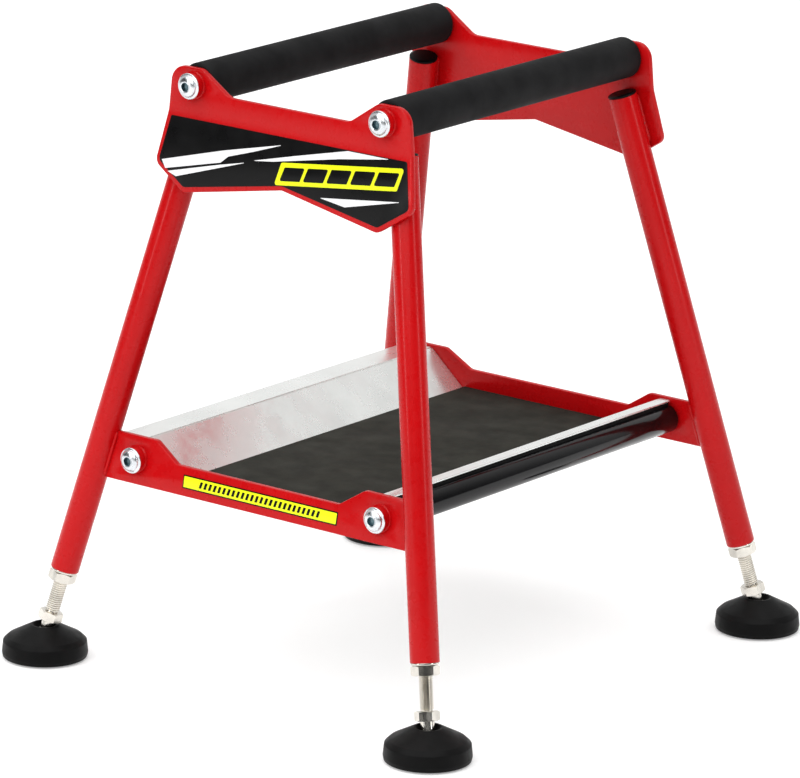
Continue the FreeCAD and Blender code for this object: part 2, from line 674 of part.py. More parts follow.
def make_seat_strip(end_name):
    """Rubber strip between a cross tube and the tray flange above it."""
    end = ENDS[end_name]
    body = new_body(f"tray_seat_{end_name}")
    reach = "(Sizes.tray_half_fold + Sizes.strip_set + Sizes.strip_width / 2)"
    middle = f"Sizes.tray_shift + ({end}) * {reach}"
    top = "Sizes.tray_top_z - Sizes.sheet"
    corners = [
        (f"{middle} - Sizes.strip_width / 2", "Sizes.lower_bolt_z"),
        (f"{middle} + Sizes.strip_width / 2", "Sizes.lower_bolt_z"),
        (f"{middle} + Sizes.strip_width / 2", top),
        (f"{middle} - Sizes.strip_width / 2", top),
    ]
    sketch = outline_sketch(body, "XZ_Plane", corners, "section")
    pad_both_ways(body, sketch, f"2 * ({CROSS_HALF} - Sizes.strip_short)")
    x = end * size("lower_bolt_x")
    bore_along_y(body, "Sizes.tube_radius + Sizes.strip_gap", [(x, size("lower_bolt_z"))])


# ---------------------------------------------------------------- stickers

def leaning_film(body, sign, x_span, face, low, high):
    """Thin film on a leaning face: 'face' is its distance from the leg axes."""
    outside = f"({face}) + Sizes.decal_thick"
    section = [
        (wall_y(low, face), low),
        (wall_y(low, outside), low),
        (wall_y(high, outside), high),
        (wall_y(high, face), high),
    ]
    signed = [(f"{sign} * ({y})", z) for y, z in section]
    pad_both_ways(body, outline_sketch(body, "YZ_Plane", signed, "section"), x_span)


def make_plate_sticker(side):
    """Large sticker that fills the leaning panel of an upper plate."""
    body = new_body(f"plate_sticker_{side}")
    face = f"(Sizes.tube_radius + Sizes.plate_thick) * {LEAN_STRETCH}"
    leaning_film(body, SIDES[side], PLATE_SPAN, face, "Sizes.toe_z", "Sizes.bend_z")
    inset = "Sizes.decal_margin"
    corners = [
        ("0", "Sizes.decal_top"),
        (f"Sizes.bend_x - {inset}", "Sizes.decal_top"),
        (f"Sizes.wing_x - {inset}", f"Sizes.wing_z + {inset} * 0.6"),
        ("Sizes.toe_x", f"Sizes.toe_z + {inset} * 1.2"),
        ("0", f"Sizes.arch_z + {inset}"),
    ]
    keep_inside(body, both(corners), "outline")


def make_rib_label(side):
    """Narrow strip on the outer face of a lower plate."""
    body = new_body(f"rib_label_{side}")
    low, high = "Sizes.label_low", "Sizes.label_high"
    leaning_film(body, SIDES[side], "Sizes.label_length", "Sizes.rib_set", low, high)
    body.Placement = FreeCAD.Placement(Vector(size("label_x"), 0, 0), Rotation())


# ---------------------------------------------------------------- the whole stand

for corner_name in CORNERS:
    make_leg(corner_name)
    make_leg_cap(corner_name)
    make_leg_insert(corner_name)
    make_foot_stud(corner_name)
    make_lock_nut(corner_name)
    make_foot_pad(corner_name)
    make_foot_grip(corner_name)

for side_name in SIDES:
    make_upper_plate(side_name)
    make_lower_plate(side_name)
    make_plate_sticker(side_name)
    make_rib_label(side_name)

for end_name, end_sign in ENDS.items():
    rail_x = end_sign * size("top_bolt_x")
    cross_x = end_sign * size("lower_bolt_x")
    make_tube(f"rail_tube_{end_name}", rail_x, size("top_bolt_z"), RAIL_HALF)
    make_sleeve(f"rail_sleeve_{end_name}", rail_x, size("top_bolt_z"), SLEEVE_HALF)
    make_tube(f"cross_tube_{end_name}", cross_x, size("lower_bolt_z"), CROSS_HALF)
    make_seat_strip(end_name)

make_tray()
make_tray_mat()
fasten("rail", "top_bolt_x", "top_bolt_z", EAR_INNER_Y, "Sizes.top_seat_y")
fasten("cross", "lower_bolt_x", "lower_bolt_z", CROSS_HALF, "Sizes.lower_seat_y")

doc.recompute()


# ---------------------------------------------------------------- checks and files

def check_document():
    for item in doc.Objects:
        if "Invalid" in item.State or "Error" in item.State:
            raise RuntimeError(f"{item.Name} failed: {item.State}")
    for item in SUB_PARTS:
        if item.Shape.isNull() or not item.Shape.isValid():
            raise RuntimeError(f"{item.Label} has no valid shape")


check_document()
os.makedirs("parts", exist_ok=True)
for sub_part in SUB_PARTS:
    sub_part.Shape.exportStep(f"parts/{sub_part.Label}.step")
    box = sub_part.Shape.BoundBox
    print(f"{sub_part.Label:24s} {len(sub_part.Shape.Solids)} solid(s) {sub_part.Shape.Volume:10.1f} mm3",
          f"X {box.XMin:.1f}..{box.XMax:.1f} Y {box.YMin:.1f}..{box.YMax:.1f} Z {box.ZMin:.1f}..{box.ZMax:.1f}")
print(len(SUB_PARTS), "sub-parts")
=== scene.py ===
import math

import bmesh
import bpy
from mathutils import Matrix, Vector


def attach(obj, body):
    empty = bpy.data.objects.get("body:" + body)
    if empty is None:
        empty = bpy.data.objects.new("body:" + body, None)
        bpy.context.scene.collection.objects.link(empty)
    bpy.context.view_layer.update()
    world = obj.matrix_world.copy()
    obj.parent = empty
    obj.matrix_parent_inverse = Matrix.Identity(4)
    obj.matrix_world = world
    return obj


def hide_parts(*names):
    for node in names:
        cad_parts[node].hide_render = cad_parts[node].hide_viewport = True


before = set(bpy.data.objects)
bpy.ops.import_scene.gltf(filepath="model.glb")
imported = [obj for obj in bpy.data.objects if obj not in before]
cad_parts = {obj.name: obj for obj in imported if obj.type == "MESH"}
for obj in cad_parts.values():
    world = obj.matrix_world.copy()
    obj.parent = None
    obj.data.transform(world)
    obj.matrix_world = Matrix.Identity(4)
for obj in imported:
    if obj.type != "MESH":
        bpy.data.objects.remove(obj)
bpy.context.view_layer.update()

# A low motorcycle work stand.  Every shape below is written in millimetres in
# the frame of the CAD model (+Z up, +Y along the rails, +X front) and turned
# into metres when its mesh is made.

MM = 0.001

# ---------------------------------------------------------------- sizes

# A leg's axis leans inwards by these shares of its height, from its place at Z = 0.
LEAN_X = 0.22
LEAN_Y = 0.1809
AXIS_X = 172.5
AXIS_Y = 192.2
LEAN_STRETCH = math.sqrt(1 + LEAN_Y ** 2)

# The legs' ends are measured along their axis from the ball in the foot.
BALL_Z = 16.0
LEG_START = 49.5
LEG_FINISH = 385.2
TUBE_R = 10.0
TUBE_BORE = 8.5
PLATE = 4.0

SIDES = {"left": -1, "right": 1}
ENDS = {"rear": -1, "front": 1}
CORNERS = {
    "front_left": (1, -1),
    "rear_left": (-1, -1),
    "front_right": (1, 1),
    "rear_right": (-1, 1),
}


def axis_x(z):
    """Distance of a leg axis from the middle plane X = 0 at height z."""
    return AXIS_X - LEAN_X * z


def axis_y(z):
    """Distance of a leg axis from the middle plane Y = 0 at height z."""
    return AXIS_Y - LEAN_Y * z


# ---------------------------------------------------------------- outlines

def rounded(points, radii, steps=6, closed=True):
    """An outline with every corner replaced by an arc of its own radius."""
    result = []
    count = len(points)
    for index, (point, radius) in enumerate(zip(points, radii)):
        corner = Vector(point)
        at_end = not closed and index in (0, count - 1)
        if radius <= 0 or at_end:
            result.append(corner)
            continue
        before = (Vector(points[index - 1]) - corner).normalized()
        after = (Vector(points[(index + 1) % count]) - corner).normalized()
        half = before.angle(after) / 2
        reach = radius / math.tan(half)
        centre = corner + (before + after).normalized() * radius / math.sin(half)
        first = corner + before * reach - centre
        last = corner + after * reach - centre
        turn = math.atan2(first.x * last.y - first.y * last.x, first.dot(last))
        for step in range(steps + 1):
            angle = turn * step / steps
            cosine, sine = math.cos(angle), math.sin(angle)
            spoke = Vector((first.x * cosine - first.y * sine,
                            first.x * sine + first.y * cosine))
            result.append(centre + spoke)
    return result


def mirrored(half_points, half_radii):
    """Full outline of a shape that is symmetric in X, from its +X half."""
    points, radii = list(half_points), list(half_radii)
    for (x, z), radius in zip(reversed(half_points), reversed(half_radii)):
        if x > 0:
            points.append((-x, z))
            radii.append(radius)
    return points, radii


def inset(outline, distance):
    """The outline moved inwards by a small distance."""
    sharpest = 0.4
    area = sum(a.x * b.y - b.x * a.y for a, b in zip(outline, outline[1:] + outline[:1]))
    sense = 1 if area > 0 else -1
    result = []
    count = len(outline)
    for index, point in enumerate(outline):
        before = (point - outline[index - 1]).normalized()
        after = (outline[(index + 1) % count] - point).normalized()
        normals = [Vector((-edge.y, edge.x)) * sense for edge in (before, after)]
        middle = (normals[0] + normals[1]).normalized()
        result.append(point + middle * distance / max(sharpest, middle.dot(normals[0])))
    return result


def circle(x, z, radius, steps=48):
    """Closed outline of a circle."""
    turns = [2 * math.pi * step / steps for step in range(steps)]
    return [Vector((x + radius * math.cos(a), z + radius * math.sin(a))) for a in turns]


def across_flats(flats, angle):
    """Radius of a hexagon at an angle, for a width across flats."""
    sixth = math.pi / 3
    return flats / 2 / math.cos((angle + sixth / 2) % sixth - sixth / 2)


def as_rings(section, radii, steps, closed=True):
    """A section with rounded corners, as (radius, height) pairs for turning."""
    return [tuple(point) for point in rounded(section, radii, steps, closed)]


# ---------------------------------------------------------------- solids

NO_RADIUS = 1e-6


def turned(bm, rings, segments=72):
    """Solid of revolution about Z.  A ring is a (radius, height) pair or a
    function of the angle that gives one.  The solid closes on the axis where
    its first ring has no radius, and otherwise closes into a tube."""
    angles = [2 * math.pi * step / segments for step in range(segments)]
    loops = []
    for ring in rings:
        spot = ring if callable(ring) else (lambda angle, ring=ring: ring)
        if spot(0.0)[0] < NO_RADIUS:
            loops.append([bm.verts.new((0, 0, spot(0.0)[1]))])
            continue
        pairs = [(angle, *spot(angle)) for angle in angles]
        loops.append([bm.verts.new((r * math.cos(a), r * math.sin(a), z)) for a, r, z in pairs])
    on_axis = len(loops[0]) == 1
    following = loops[1:] if on_axis else loops[1:] + loops[:1]
    for low, high in zip(loops, following):
        bridge(bm, low, high)


def bridge(bm, low, high):
    """Faces between two loops; either loop may be a single point."""
    count = max(len(low), len(high))
    for index in range(count):
        corners = [
            low[index % len(low)],
            low[(index + 1) % len(low)],
            high[(index + 1) % len(high)],
            high[index % len(high)],
        ]
        unique = list(dict.fromkeys(corners))
        bm.faces.new(unique)


def tube_rings(outer, inner, low, high, ease=0.6):
    """Section of a tube with eased edges."""
    section = [(outer, low), (outer, high), (inner, high), (inner, low)]
    return as_rings(section, [ease] * 4, 3)


def rod_rings(profile, eases):
    """Section of a solid that starts and ends on the axis."""
    return as_rings(profile, eases, 4, closed=False)


def hexagon_rings(flats, low, high, bore):
    """A nut's section: chamfered hexagon outside, round bore inside."""
    chamfer_start, chamfer_angle = 0.98, 30
    circle_r = flats / 2 * chamfer_start
    slope = math.tan(math.radians(chamfer_angle))

    def outer(edge, sense):
        def ring(angle):
            radius = across_flats(flats, angle)
            return radius, edge + sense * max(0.0, radius - circle_r) * slope
        return ring

    return [
        (bore, low),
        (circle_r, low),
        outer(low, 1),
        outer(high, -1),
        (circle_r, high),
        (bore, high),
    ]


def thread(bm, crest, root, pitch, low, high, segments):
    """Open-ended screw thread; its two end rings lie at the root radius."""
    root_end, crest_start, crest_end = 0.14, 0.44, 0.70
    shape = [(0.0, root), (root_end, root), (crest_start, crest), (crest_end, crest)]
    turns = math.ceil((high - low) / pitch) + 2
    rows = []
    for turn in range(-1, turns):
        for part, radius in shape:
            row = []
            for step in range(segments):
                angle = 2 * math.pi * step / segments
                height = low + (turn + part + step / segments) * pitch
                inside = low < height < high
                reach = radius if inside else root
                height = min(max(height, low), high)
                spot = (reach * math.cos(angle), reach * math.sin(angle), height)
                row.append(bm.verts.new(spot))
            rows.append(row)
    steps_up = len(shape)
    for index in range(len(rows) - 1):
        for step in range(segments):
            last = step == segments - 1
            if last and index + 1 + steps_up >= len(rows):
                continue
            shift = steps_up if last else 0
            right = (step + 1) % segments
            quad = (
                rows[index][step],
                rows[index + shift][right],
                rows[index + 1 + shift][right],
                rows[index + 1][step],
            )
            bm.faces.new(quad)


def slab(bm, outline, thickness, holes=(), ease=0.5, cuts=()):
    """Flat plate in the XZ plane, from Y = 0 to Y = thickness, its edges eased.
    It is cut across at the heights in 'cuts', so that it can be bent there."""
    bevel = ease * 0.3
    steps = [(ease, 0.0), (bevel, bevel), (0.0, ease)]
    steps += [(0.0, thickness - ease), (bevel, thickness - bevel), (ease, thickness)]
    outlines = [(outline, 1)] + [(hole, -1) for hole in holes]
    first_rims, last_rims = [], []
    for loop, sense in outlines:
        layers = []
        for margin, depth in steps:
            ring = inset(loop, margin * sense)
            layers.append([bm.verts.new((p.x, depth, p.y)) for p in ring])
        for low, high in zip(layers, layers[1:]):
            bridge(bm, low, high)
        first_rims.append(layers[0])
        last_rims.append(layers[-1])
    for rims, normal in ((first_rims, (0, -1, 0)), (last_rims, (0, 1, 0))):
        edges = [bm.edges.get(pair) for rim in rims for pair in zip(rim, rim[1:] + rim[:1])]
        bmesh.ops.triangle_fill(bm, use_beauty=True, edges=edges, normal=normal)
    for height in cuts:
        whole = bm.verts[:] + bm.edges[:] + bm.faces[:]
        bmesh.ops.bisect_plane(bm, geom=whole, plane_co=(0, 0, height), plane_no=(0, 0, 1))


def bead(bm, path, radius, closed=False, ripple=0.06, wave=2.6):
    """Weld bead along a path of close points, thinner at its open ends."""
    sides = 8
    end_size, growth = 0.35, 0.3
    straight_along = 0.99
    y_axis = Vector((0, 1, 0))
    turns = [2 * math.pi * side / sides for side in range(sides)]
    count = len(path)
    loops = []
    travelled = 0.0
    for index, point in enumerate(path):
        ahead = path[(index + 1) % count] if closed else path[min(index + 1, count - 1)]
        behind = path[index - 1] if closed else path[max(index - 1, 0)]
        along = (ahead - behind).normalized()
        travelled += (point - path[index - 1]).length if index else 0.0
        size = radius * (1 + ripple * math.sin(2 * math.pi * travelled / wave))
        if not closed:
            from_end = min(index, count - 1 - index)
            size *= min(1.0, end_size + growth * from_end)
        across = along.orthogonal().normalized()
        if abs(along.dot(y_axis)) < straight_along:
            across = along.cross(y_axis).normalized()
        upward = along.cross(across)
        spokes = [across * math.cos(a) + upward * math.sin(a) for a in turns]
        loops.append([bm.verts.new(point + spoke * size) for spoke in spokes])
    pairs = list(zip(loops, loops[1:] + loops[:1])) if closed else list(zip(loops, loops[1:]))
    for low, high in pairs:
        bridge(bm, low, high)
    if not closed:
        bm.faces.new(loops[0])
        bm.faces.new(loops[-1])


def line(first, last, spacing=0.9):
    """Close points along a straight line."""
    count = max(3, round((last - first).length / spacing))
    return [first.lerp(last, step / count) for step in range(count + 1)]


# ---------------------------------------------------------------- pieces

# Shortest distances in millimetres that are kept when a mesh is cleaned.
SAME_POINT = 1e-4
SLIVER = 1e-5


def piece(name, bm, material, body="frame", nodes=(), place=None, sharp=32):
    """Turn a mesh in millimetres into a finished object that rides on a body.
    Edges that turn by more than 'sharp' degrees stay crisp."""
    if place is not None:
        bm.transform(place)
    bmesh.ops.remove_doubles(bm, verts=bm.verts, dist=SAME_POINT)
    bmesh.ops.dissolve_degenerate(bm, dist=SLIVER, edges=bm.edges)
    bmesh.ops.recalc_face_normals(bm, faces=bm.faces)
    for face in bm.faces:
        face.smooth = True
    limit = math.radians(sharp)
    for edge in bm.edges:
        edge.smooth = len(edge.link_faces) == 2 and edge.calc_face_angle(0.0) < limit
    bm.transform(Matrix.Scale(MM, 4))
    mesh = bpy.data.meshes.new(name)
    bm.to_mesh(mesh)
    bm.free()
    mesh.materials.append(material)
    thing = bpy.data.objects.new(name, mesh)
    bpy.context.scene.collection.objects.link(thing)
    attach(thing, body)
    if nodes:
        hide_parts(*nodes)
    return thing


def merged(bm, maker, place):
    """Add what 'maker' builds to a mesh that already holds other solids."""
    part = bmesh.new()
    maker(part)
    part.transform(place)
    scratch = bpy.data.meshes.new("scratch")
    part.to_mesh(scratch)
    part.free()
    bm.from_mesh(scratch)
    bpy.data.meshes.remove(scratch)


def leg_place(corner):
    """Ball joint of a foot, with Z up its leg."""
    front, right = CORNERS[corner]
    base = Vector((front * axis_x(BALL_Z), right * axis_y(BALL_Z), BALL_Z))
    up = Vector((-front * LEAN_X, -right * LEAN_Y, 1.0)).normalized()
    turn = Vector((0, 0, 1)).rotation_difference(up)
    return Matrix.Translation(base) @ turn.to_matrix().to_4x4()


def foot_place(corner):
    """Point on the floor under a foot's ball."""
    front, right = CORNERS[corner]
    return Matrix.Translation((front * axis_x(BALL_Z), right * axis_y(BALL_Z), 0.0))


def out_place(side, x, y, z):
    """Z axis pointing outwards along Y on one side."""
    turn = Vector((0, 0, 1)).rotation_difference(Vector((0, SIDES[side], 0)))
    return Matrix.Translation((x, SIDES[side] * y, z)) @ turn.to_matrix().to_4x4()


# ---------------------------------------------------------------- materials

class Surface:
    """A node material with short ways to add texture to a Principled shader."""

    def __init__(self, name, color, roughness, metallic=0.0):
        self.material = bpy.data.materials.new(name)
        self.material.use_nodes = True
        self.tree = self.material.node_tree
        self.shader = self.tree.nodes["Principled BSDF"]
        self.color = color
        self.set("Base Color", (*color, 1.0))
        self.set("Roughness", roughness)
        self.set("Metallic", metallic)
        self.height = None
        self.place = self.tree.nodes.new("ShaderNodeTexCoord").outputs["Object"]

    def set(self, socket, value):
        """A plain value on one of the shader's sockets."""
        self.shader.inputs[socket].default_value = value

    def noise(self, scale, detail=3.0, stretch=None, rough=0.55):
        """Noise at a number of waves per metre, stretched along an axis if asked."""
        place = self.place
        if stretch:
            mapping = self.tree.nodes.new("ShaderNodeMapping")
            mapping.inputs["Scale"].default_value = stretch
            self.tree.links.new(place, mapping.inputs["Vector"])
            place = mapping.outputs["Vector"]
        texture = self.tree.nodes.new("ShaderNodeTexNoise")
        texture.inputs["Scale"].default_value = scale
        texture.inputs["Detail"].default_value = detail
        texture.inputs["Roughness"].default_value = rough
        self.tree.links.new(place, texture.inputs["Vector"])
        return texture.outputs["Fac"]

    def cells(self, scale):
        """Distance to the nearest of many scattered points."""
        texture = self.tree.nodes.new("ShaderNodeTexVoronoi")
        texture.inputs["Scale"].default_value = scale
        self.tree.links.new(self.place, texture.inputs["Vector"])
        return texture.outputs["Distance"]

    def spread(self, value, low, high, first=0.35, last=0.65):
        """Map the middle of a texture's values onto a range."""
        node = self.tree.nodes.new("ShaderNodeMapRange")
        node.inputs["From Min"].default_value = first
        node.inputs["From Max"].default_value = last
        node.inputs["To Min"].default_value = low
        node.inputs["To Max"].default_value = high
        self.tree.links.new(value, node.inputs["Value"])
        return node.outputs["Result"]

    def tint(self, value, dark, light):
        """Colour that varies between two shades."""
        node = self.tree.nodes.new("ShaderNodeMix")
        node.data_type = "RGBA"
        node.inputs["A"].default_value = (*dark, 1.0)
        node.inputs["B"].default_value = (*light, 1.0)
        self.tree.links.new(self.spread(value, 0.0, 1.0), node.inputs["Factor"])
        self.tree.links.new(node.outputs["Result"], self.shader.inputs["Base Color"])

    def roughen(self, value, low, high):
        """Roughness that varies between two values."""
        self.tree.links.new(self.spread(value, low, high), self.shader.inputs["Roughness"])

    def bump(self, value, strength, depth):
        """Relief of a given depth in millimetres; repeated calls add up."""
        node = self.tree.nodes.new("ShaderNodeBump")
        node.inputs["Strength"].default_value = strength
        node.inputs["Distance"].default_value = depth * MM
        self.tree.links.new(value, node.inputs["Height"])
        if self.height is not None:
            self.tree.links.new(self.height, node.inputs["Normal"])
        self.height = node.outputs["Normal"]
        self.tree.links.new(self.height, self.shader.inputs["Normal"])


def shade(color, factor):
    """A colour made lighter or darker."""
    return tuple(min(1.0, channel * factor) for channel in color)


def powder_coat(name, color):
    """Glossy powder coat with a faint orange-peel surface."""
    surface = Surface(name, color, 0.3)
    surface.tint(surface.noise(9.0, 4.0), shade(color, 0.93), shade(color, 1.05))
    surface.roughen(surface.noise(140.0, 3.0), 0.24, 0.34)
    surface.bump(surface.noise(420.0, 2.0), 0.2, 0.04)
    surface.bump(surface.noise(2600.0, 1.0), 0.15, 0.01)
    surface.set("Specular IOR Level", 0.16)
    surface.set("Coat Weight", 0.06)
    surface.set("Coat Roughness", 0.08)
    return surface.material


def gloss_paint(name, color):
    """Smooth gloss paint with a soft clear coat."""
    surface = Surface(name, color, 0.14)
    surface.tint(surface.noise(14.0), shade(color, 0.8), shade(color, 1.3))
    surface.roughen(surface.noise(90.0), 0.1, 0.18)
    surface.bump(surface.noise(260.0, 2.0), 0.2, 0.04)
    surface.set("Specular IOR Level", 0.25)
    surface.set("Coat Weight", 0.03)
    surface.set("Coat Roughness", 0.05)
    return surface.material


def rubber(name, color, grain, rough_low, rough_high):
    """Moulded rubber: fine grain, slight bloom and dull sheen."""
    surface = Surface(name, color, rough_high)
    surface.tint(surface.noise(60.0, 6.0), shade(color, 0.8), shade(color, 1.25))
    surface.roughen(surface.noise(35.0, 4.0), rough_low, rough_high)
    surface.bump(surface.noise(grain, 3.0), 0.45, 0.12)
    surface.bump(surface.noise(grain * 4, 2.0), 0.3, 0.05)
    surface.set("Specular IOR Level", 0.1)
    return surface.material


def moulded_plastic(name, color):
    """Hard plastic with a pebbled mould texture."""
    surface = Surface(name, color, 0.45)
    surface.tint(surface.noise(50.0, 4.0), shade(color, 0.85), shade(color, 1.2))
    surface.roughen(surface.noise(120.0, 3.0), 0.38, 0.52)
    surface.bump(surface.cells(1400.0), 0.25, 0.06)
    surface.bump(surface.noise(300.0, 3.0), 0.2, 0.08)
    surface.set("Specular IOR Level", 0.1)
    return surface.material


def plated_steel(name, color, rough_low, rough_high, streak):
    """Zinc or nickel plate with fine marks that run along 'streak'."""
    surface = Surface(name, color, rough_low, 1.0)
    surface.tint(surface.noise(80.0, 5.0), shade(color, 0.86), shade(color, 1.08))
    surface.roughen(surface.noise(220.0, 4.0, stretch=streak), rough_low, rough_high)
    surface.bump(surface.noise(700.0, 3.0, stretch=streak), 0.25, 0.03)
    return surface.material


def mill_aluminium(name, color):
    """Rolled sheet: long fine rolling lines and a cloudy, mottled sheen."""
    surface = Surface(name, color, 0.3, 0.75)
    surface.tint(surface.noise(26.0, 6.0), shade(color, 0.95), shade(color, 1.03))
    surface.roughen(surface.noise(34.0, 6.0, rough=0.65), 0.2, 0.36)
    surface.bump(surface.noise(1.0, 3.0, stretch=(1500.0, 14.0, 1500.0)), 0.25, 0.02)
    surface.bump(surface.noise(45.0, 4.0), 0.08, 0.15)
    return surface.material


def printed_film(name, color):
    """Laminated vinyl: even ink under a clear, slightly rippled film."""
    surface = Surface(name, color, 0.3)
    surface.tint(surface.noise(300.0, 2.0), shade(color, 0.95), shade(color, 1.04))
    surface.roughen(surface.noise(70.0, 3.0), 0.26, 0.36)
    surface.bump(surface.noise(120.0, 2.0), 0.12, 0.05)
    surface.set("Specular IOR Level", 0.12)
    surface.set("Coat Weight", 0.02)
    surface.set("Coat Roughness", 0.2)
    return surface.material


def floor_paint(name, color, glow):
    """White sweep, lit a little from behind so that the shadow on it stays faint."""
    surface = Surface(name, color, 0.75)
    surface.set("Emission Color", (1.0, 1.0, 1.0, 1.0))
    surface.set("Emission Strength", glow)
    surface.tint(surface.noise(1.5, 3.0), shade(color, 0.985), shade(color, 1.0))
    surface.bump(surface.noise(60.0, 3.0), 0.05, 0.1)
    return surface.material


RED = powder_coat("red_powder_coat", (0.49, 0.0025, 0.004))
BLACK_PAINT = gloss_paint("black_gloss_paint", (0.0045, 0.0045, 0.005))
SLEEVE_RUBBER = rubber("sleeve_rubber", (0.009, 0.009, 0.0095), 520.0, 0.62, 0.76)
STRIP_RUBBER = rubber("strip_rubber", (0.006, 0.006, 0.006), 900.0, 0.7, 0.85)
GRIP_RUBBER = rubber("grip_rubber", (0.012, 0.012, 0.012), 900.0, 0.7, 0.85)
MAT_RUBBER = rubber("mat_rubber", (0.027, 0.027, 0.022), 1100.0, 0.72, 0.85)
BLACK_PLASTIC = moulded_plastic("black_plastic", (0.0025, 0.0025, 0.0026))
ZINC = plated_steel("bright_zinc", (0.72, 0.75, 0.78), 0.2, 0.34, (1.0, 1.0, 1.0))
# The bolt sockets get a darker, bluer zinc: painted shade for the recess.
SOCKET_SHADE_ZINC = plated_steel("socket_zinc_painted_shade", (0.16, 0.24, 0.27), 0.3, 0.45, (1.0, 1.0, 1.0))
NICKEL = plated_steel("nickel_plate", (0.72, 0.69, 0.63), 0.14, 0.26, (1.0, 1.0, 0.15))
ALUMINIUM = mill_aluminium("mill_aluminium", (0.88, 0.9, 0.88))
FILM_BLACK = printed_film("film_black", (0.004, 0.004, 0.0042))
FILM_WHITE = printed_film("film_white", (0.85, 0.85, 0.86))
FILM_YELLOW = printed_film("film_yellow", (0.8, 0.9, 0.015))
FLOOR = floor_paint("floor_paint", (0.8, 0.8, 0.8), 0.3)


# ---------------------------------------------------------------- legs and feet

STUD_R = 5.0
STUD_ROOT = 4.15
STUD_PITCH = 1.5
STUD_TOP = 86.0
STUD_TIP = 0.85
THREAD_GAP = 0.8
THREAD_SEGMENTS = 36
COLLAR = (10.9, 17.6)
COLLAR_FLATS = 15.0
NECK_R = 4.8
BALL_R = 6.5
BALL_STEPS = 14
NUT = (40.9, 47.8)
NUT_FLATS = 17.0
NUT_TURN = 12

CAP_TOP = 2.0
CAP_DEPTH = 14.0
INSERT_FLANGE = 1.5
INSERT_DEPTH = 22.0

PAD_FLOOR = 4.0
PAD_TOP = 23.5
SOCKET_GAP = 0.3
SOCKET_STEPS = 12
THROAT_RISE = 3.0
GRIP_R = 25.0
GRIP_SEAT_R = 25.2


def make_leg(corner):
    bm = bmesh.new()
    turned(bm, tube_rings(TUBE_R, TUBE_BORE, LEG_START, LEG_FINISH))
    piece(f"leg_tube_{corner}", bm, RED, "frame", [f"leg_{corner}"], leg_place(corner))


def make_leg_cap(corner):
    """Hollow push-in cap with a slightly domed top."""
    low, top, seat = LEG_FINISH - CAP_DEPTH, LEG_FINISH + CAP_TOP, LEG_FINISH
    dome_r, plug_r, hollow_r = 8.2, 8.42, 7.0
    dome = [(0, top), (dome_r, top - 0.15), (TUBE_R, top - 0.8), (TUBE_R, seat)]
    plug = [(plug_r, seat), (plug_r, low), (hollow_r, low), (hollow_r, seat - 1), (0, seat - 1)]
    bm = bmesh.new()
    turned(bm, rod_rings(dome + plug, [0, 4, 0.4, 0.2, 0, 0.3, 0.3, 0.5, 0]))
    piece(f"leg_end_cap_{corner}", bm, BLACK_PLASTIC, "frame", [f"leg_cap_{corner}"],
          leg_place(corner))


def make_leg_insert(corner):
    """Threaded insert whose flange covers the end of the tube."""
    low, seat, top = LEG_START - INSERT_FLANGE, LEG_START, LEG_START + INSERT_DEPTH
    bore, flange_r, plug_r = 5.05, 9.5, 8.45
    section = [(bore, low), (flange_r, low), (flange_r, seat),
               (plug_r, seat), (plug_r, top), (bore, top)]
    bm = bmesh.new()
    turned(bm, as_rings(section, [0.4, 0.5, 0.2, 0.1, 0.4, 0.3], 3))
    piece(f"leg_thread_insert_{corner}", bm, NICKEL, "frame", [f"leg_insert_{corner}"],
          leg_place(corner))


def open_lathe(bm, rings, segments):
    """Turned skin that starts on the axis and stays open at its last ring."""
    angles = [2 * math.pi * step / segments for step in range(segments)]
    loops = [[bm.verts.new((0, 0, rings[0][1]))]]
    for radius, height in rings[1:]:
        spots = [(radius * math.cos(a), radius * math.sin(a), height) for a in angles]
        loops.append([bm.verts.new(spot) for spot in spots])
    for low, high in zip(loops, loops[1:]):
        bridge(bm, low, high)


def make_stud(corner):
    """Ball, neck, hexagon and a real M10 thread in one mesh."""
    widest = math.acos(-math.cos(math.asin(NECK_R / BALL_R)))
    ball = [(0.0, -BALL_R)]
    for step in range(1, BALL_STEPS + 1):
        angle = widest * step / BALL_STEPS
        ball.append((BALL_R * math.sin(angle), -BALL_R * math.cos(angle)))
    low, high = COLLAR[1] + THREAD_GAP, STUD_TOP - STUD_TIP
    neck = [(NECK_R, COLLAR[0]), (STUD_ROOT, COLLAR[0] + 0.5), (STUD_ROOT, low)]
    tip = [(0.0, STUD_TOP), (STUD_ROOT - STUD_TIP, STUD_TOP), (STUD_ROOT, high)]
    bm = bmesh.new()
    open_lathe(bm, ball + neck, THREAD_SEGMENTS)
    thread(bm, STUD_R, STUD_ROOT, STUD_PITCH, low, high, THREAD_SEGMENTS)
    open_lathe(bm, tip, THREAD_SEGMENTS)
    turned(bm, hexagon_rings(COLLAR_FLATS, *COLLAR, STUD_ROOT - 0.6))
    piece(f"levelling_stud_{corner}", bm, NICKEL, f"foot_stud_{corner}", [f"foot_stud_{corner}"],
          leg_place(corner))


def make_nut(corner):
    bm = bmesh.new()
    turned(bm, hexagon_rings(NUT_FLATS, *NUT, STUD_R + 0.05))
    spin = Matrix.Rotation(math.radians(NUT_TURN), 4, "Z")
    piece(f"hex_lock_nut_{corner}", bm, NICKEL, f"lock_nut_{corner}", [f"lock_nut_{corner}"],
          leg_place(corner) @ spin)


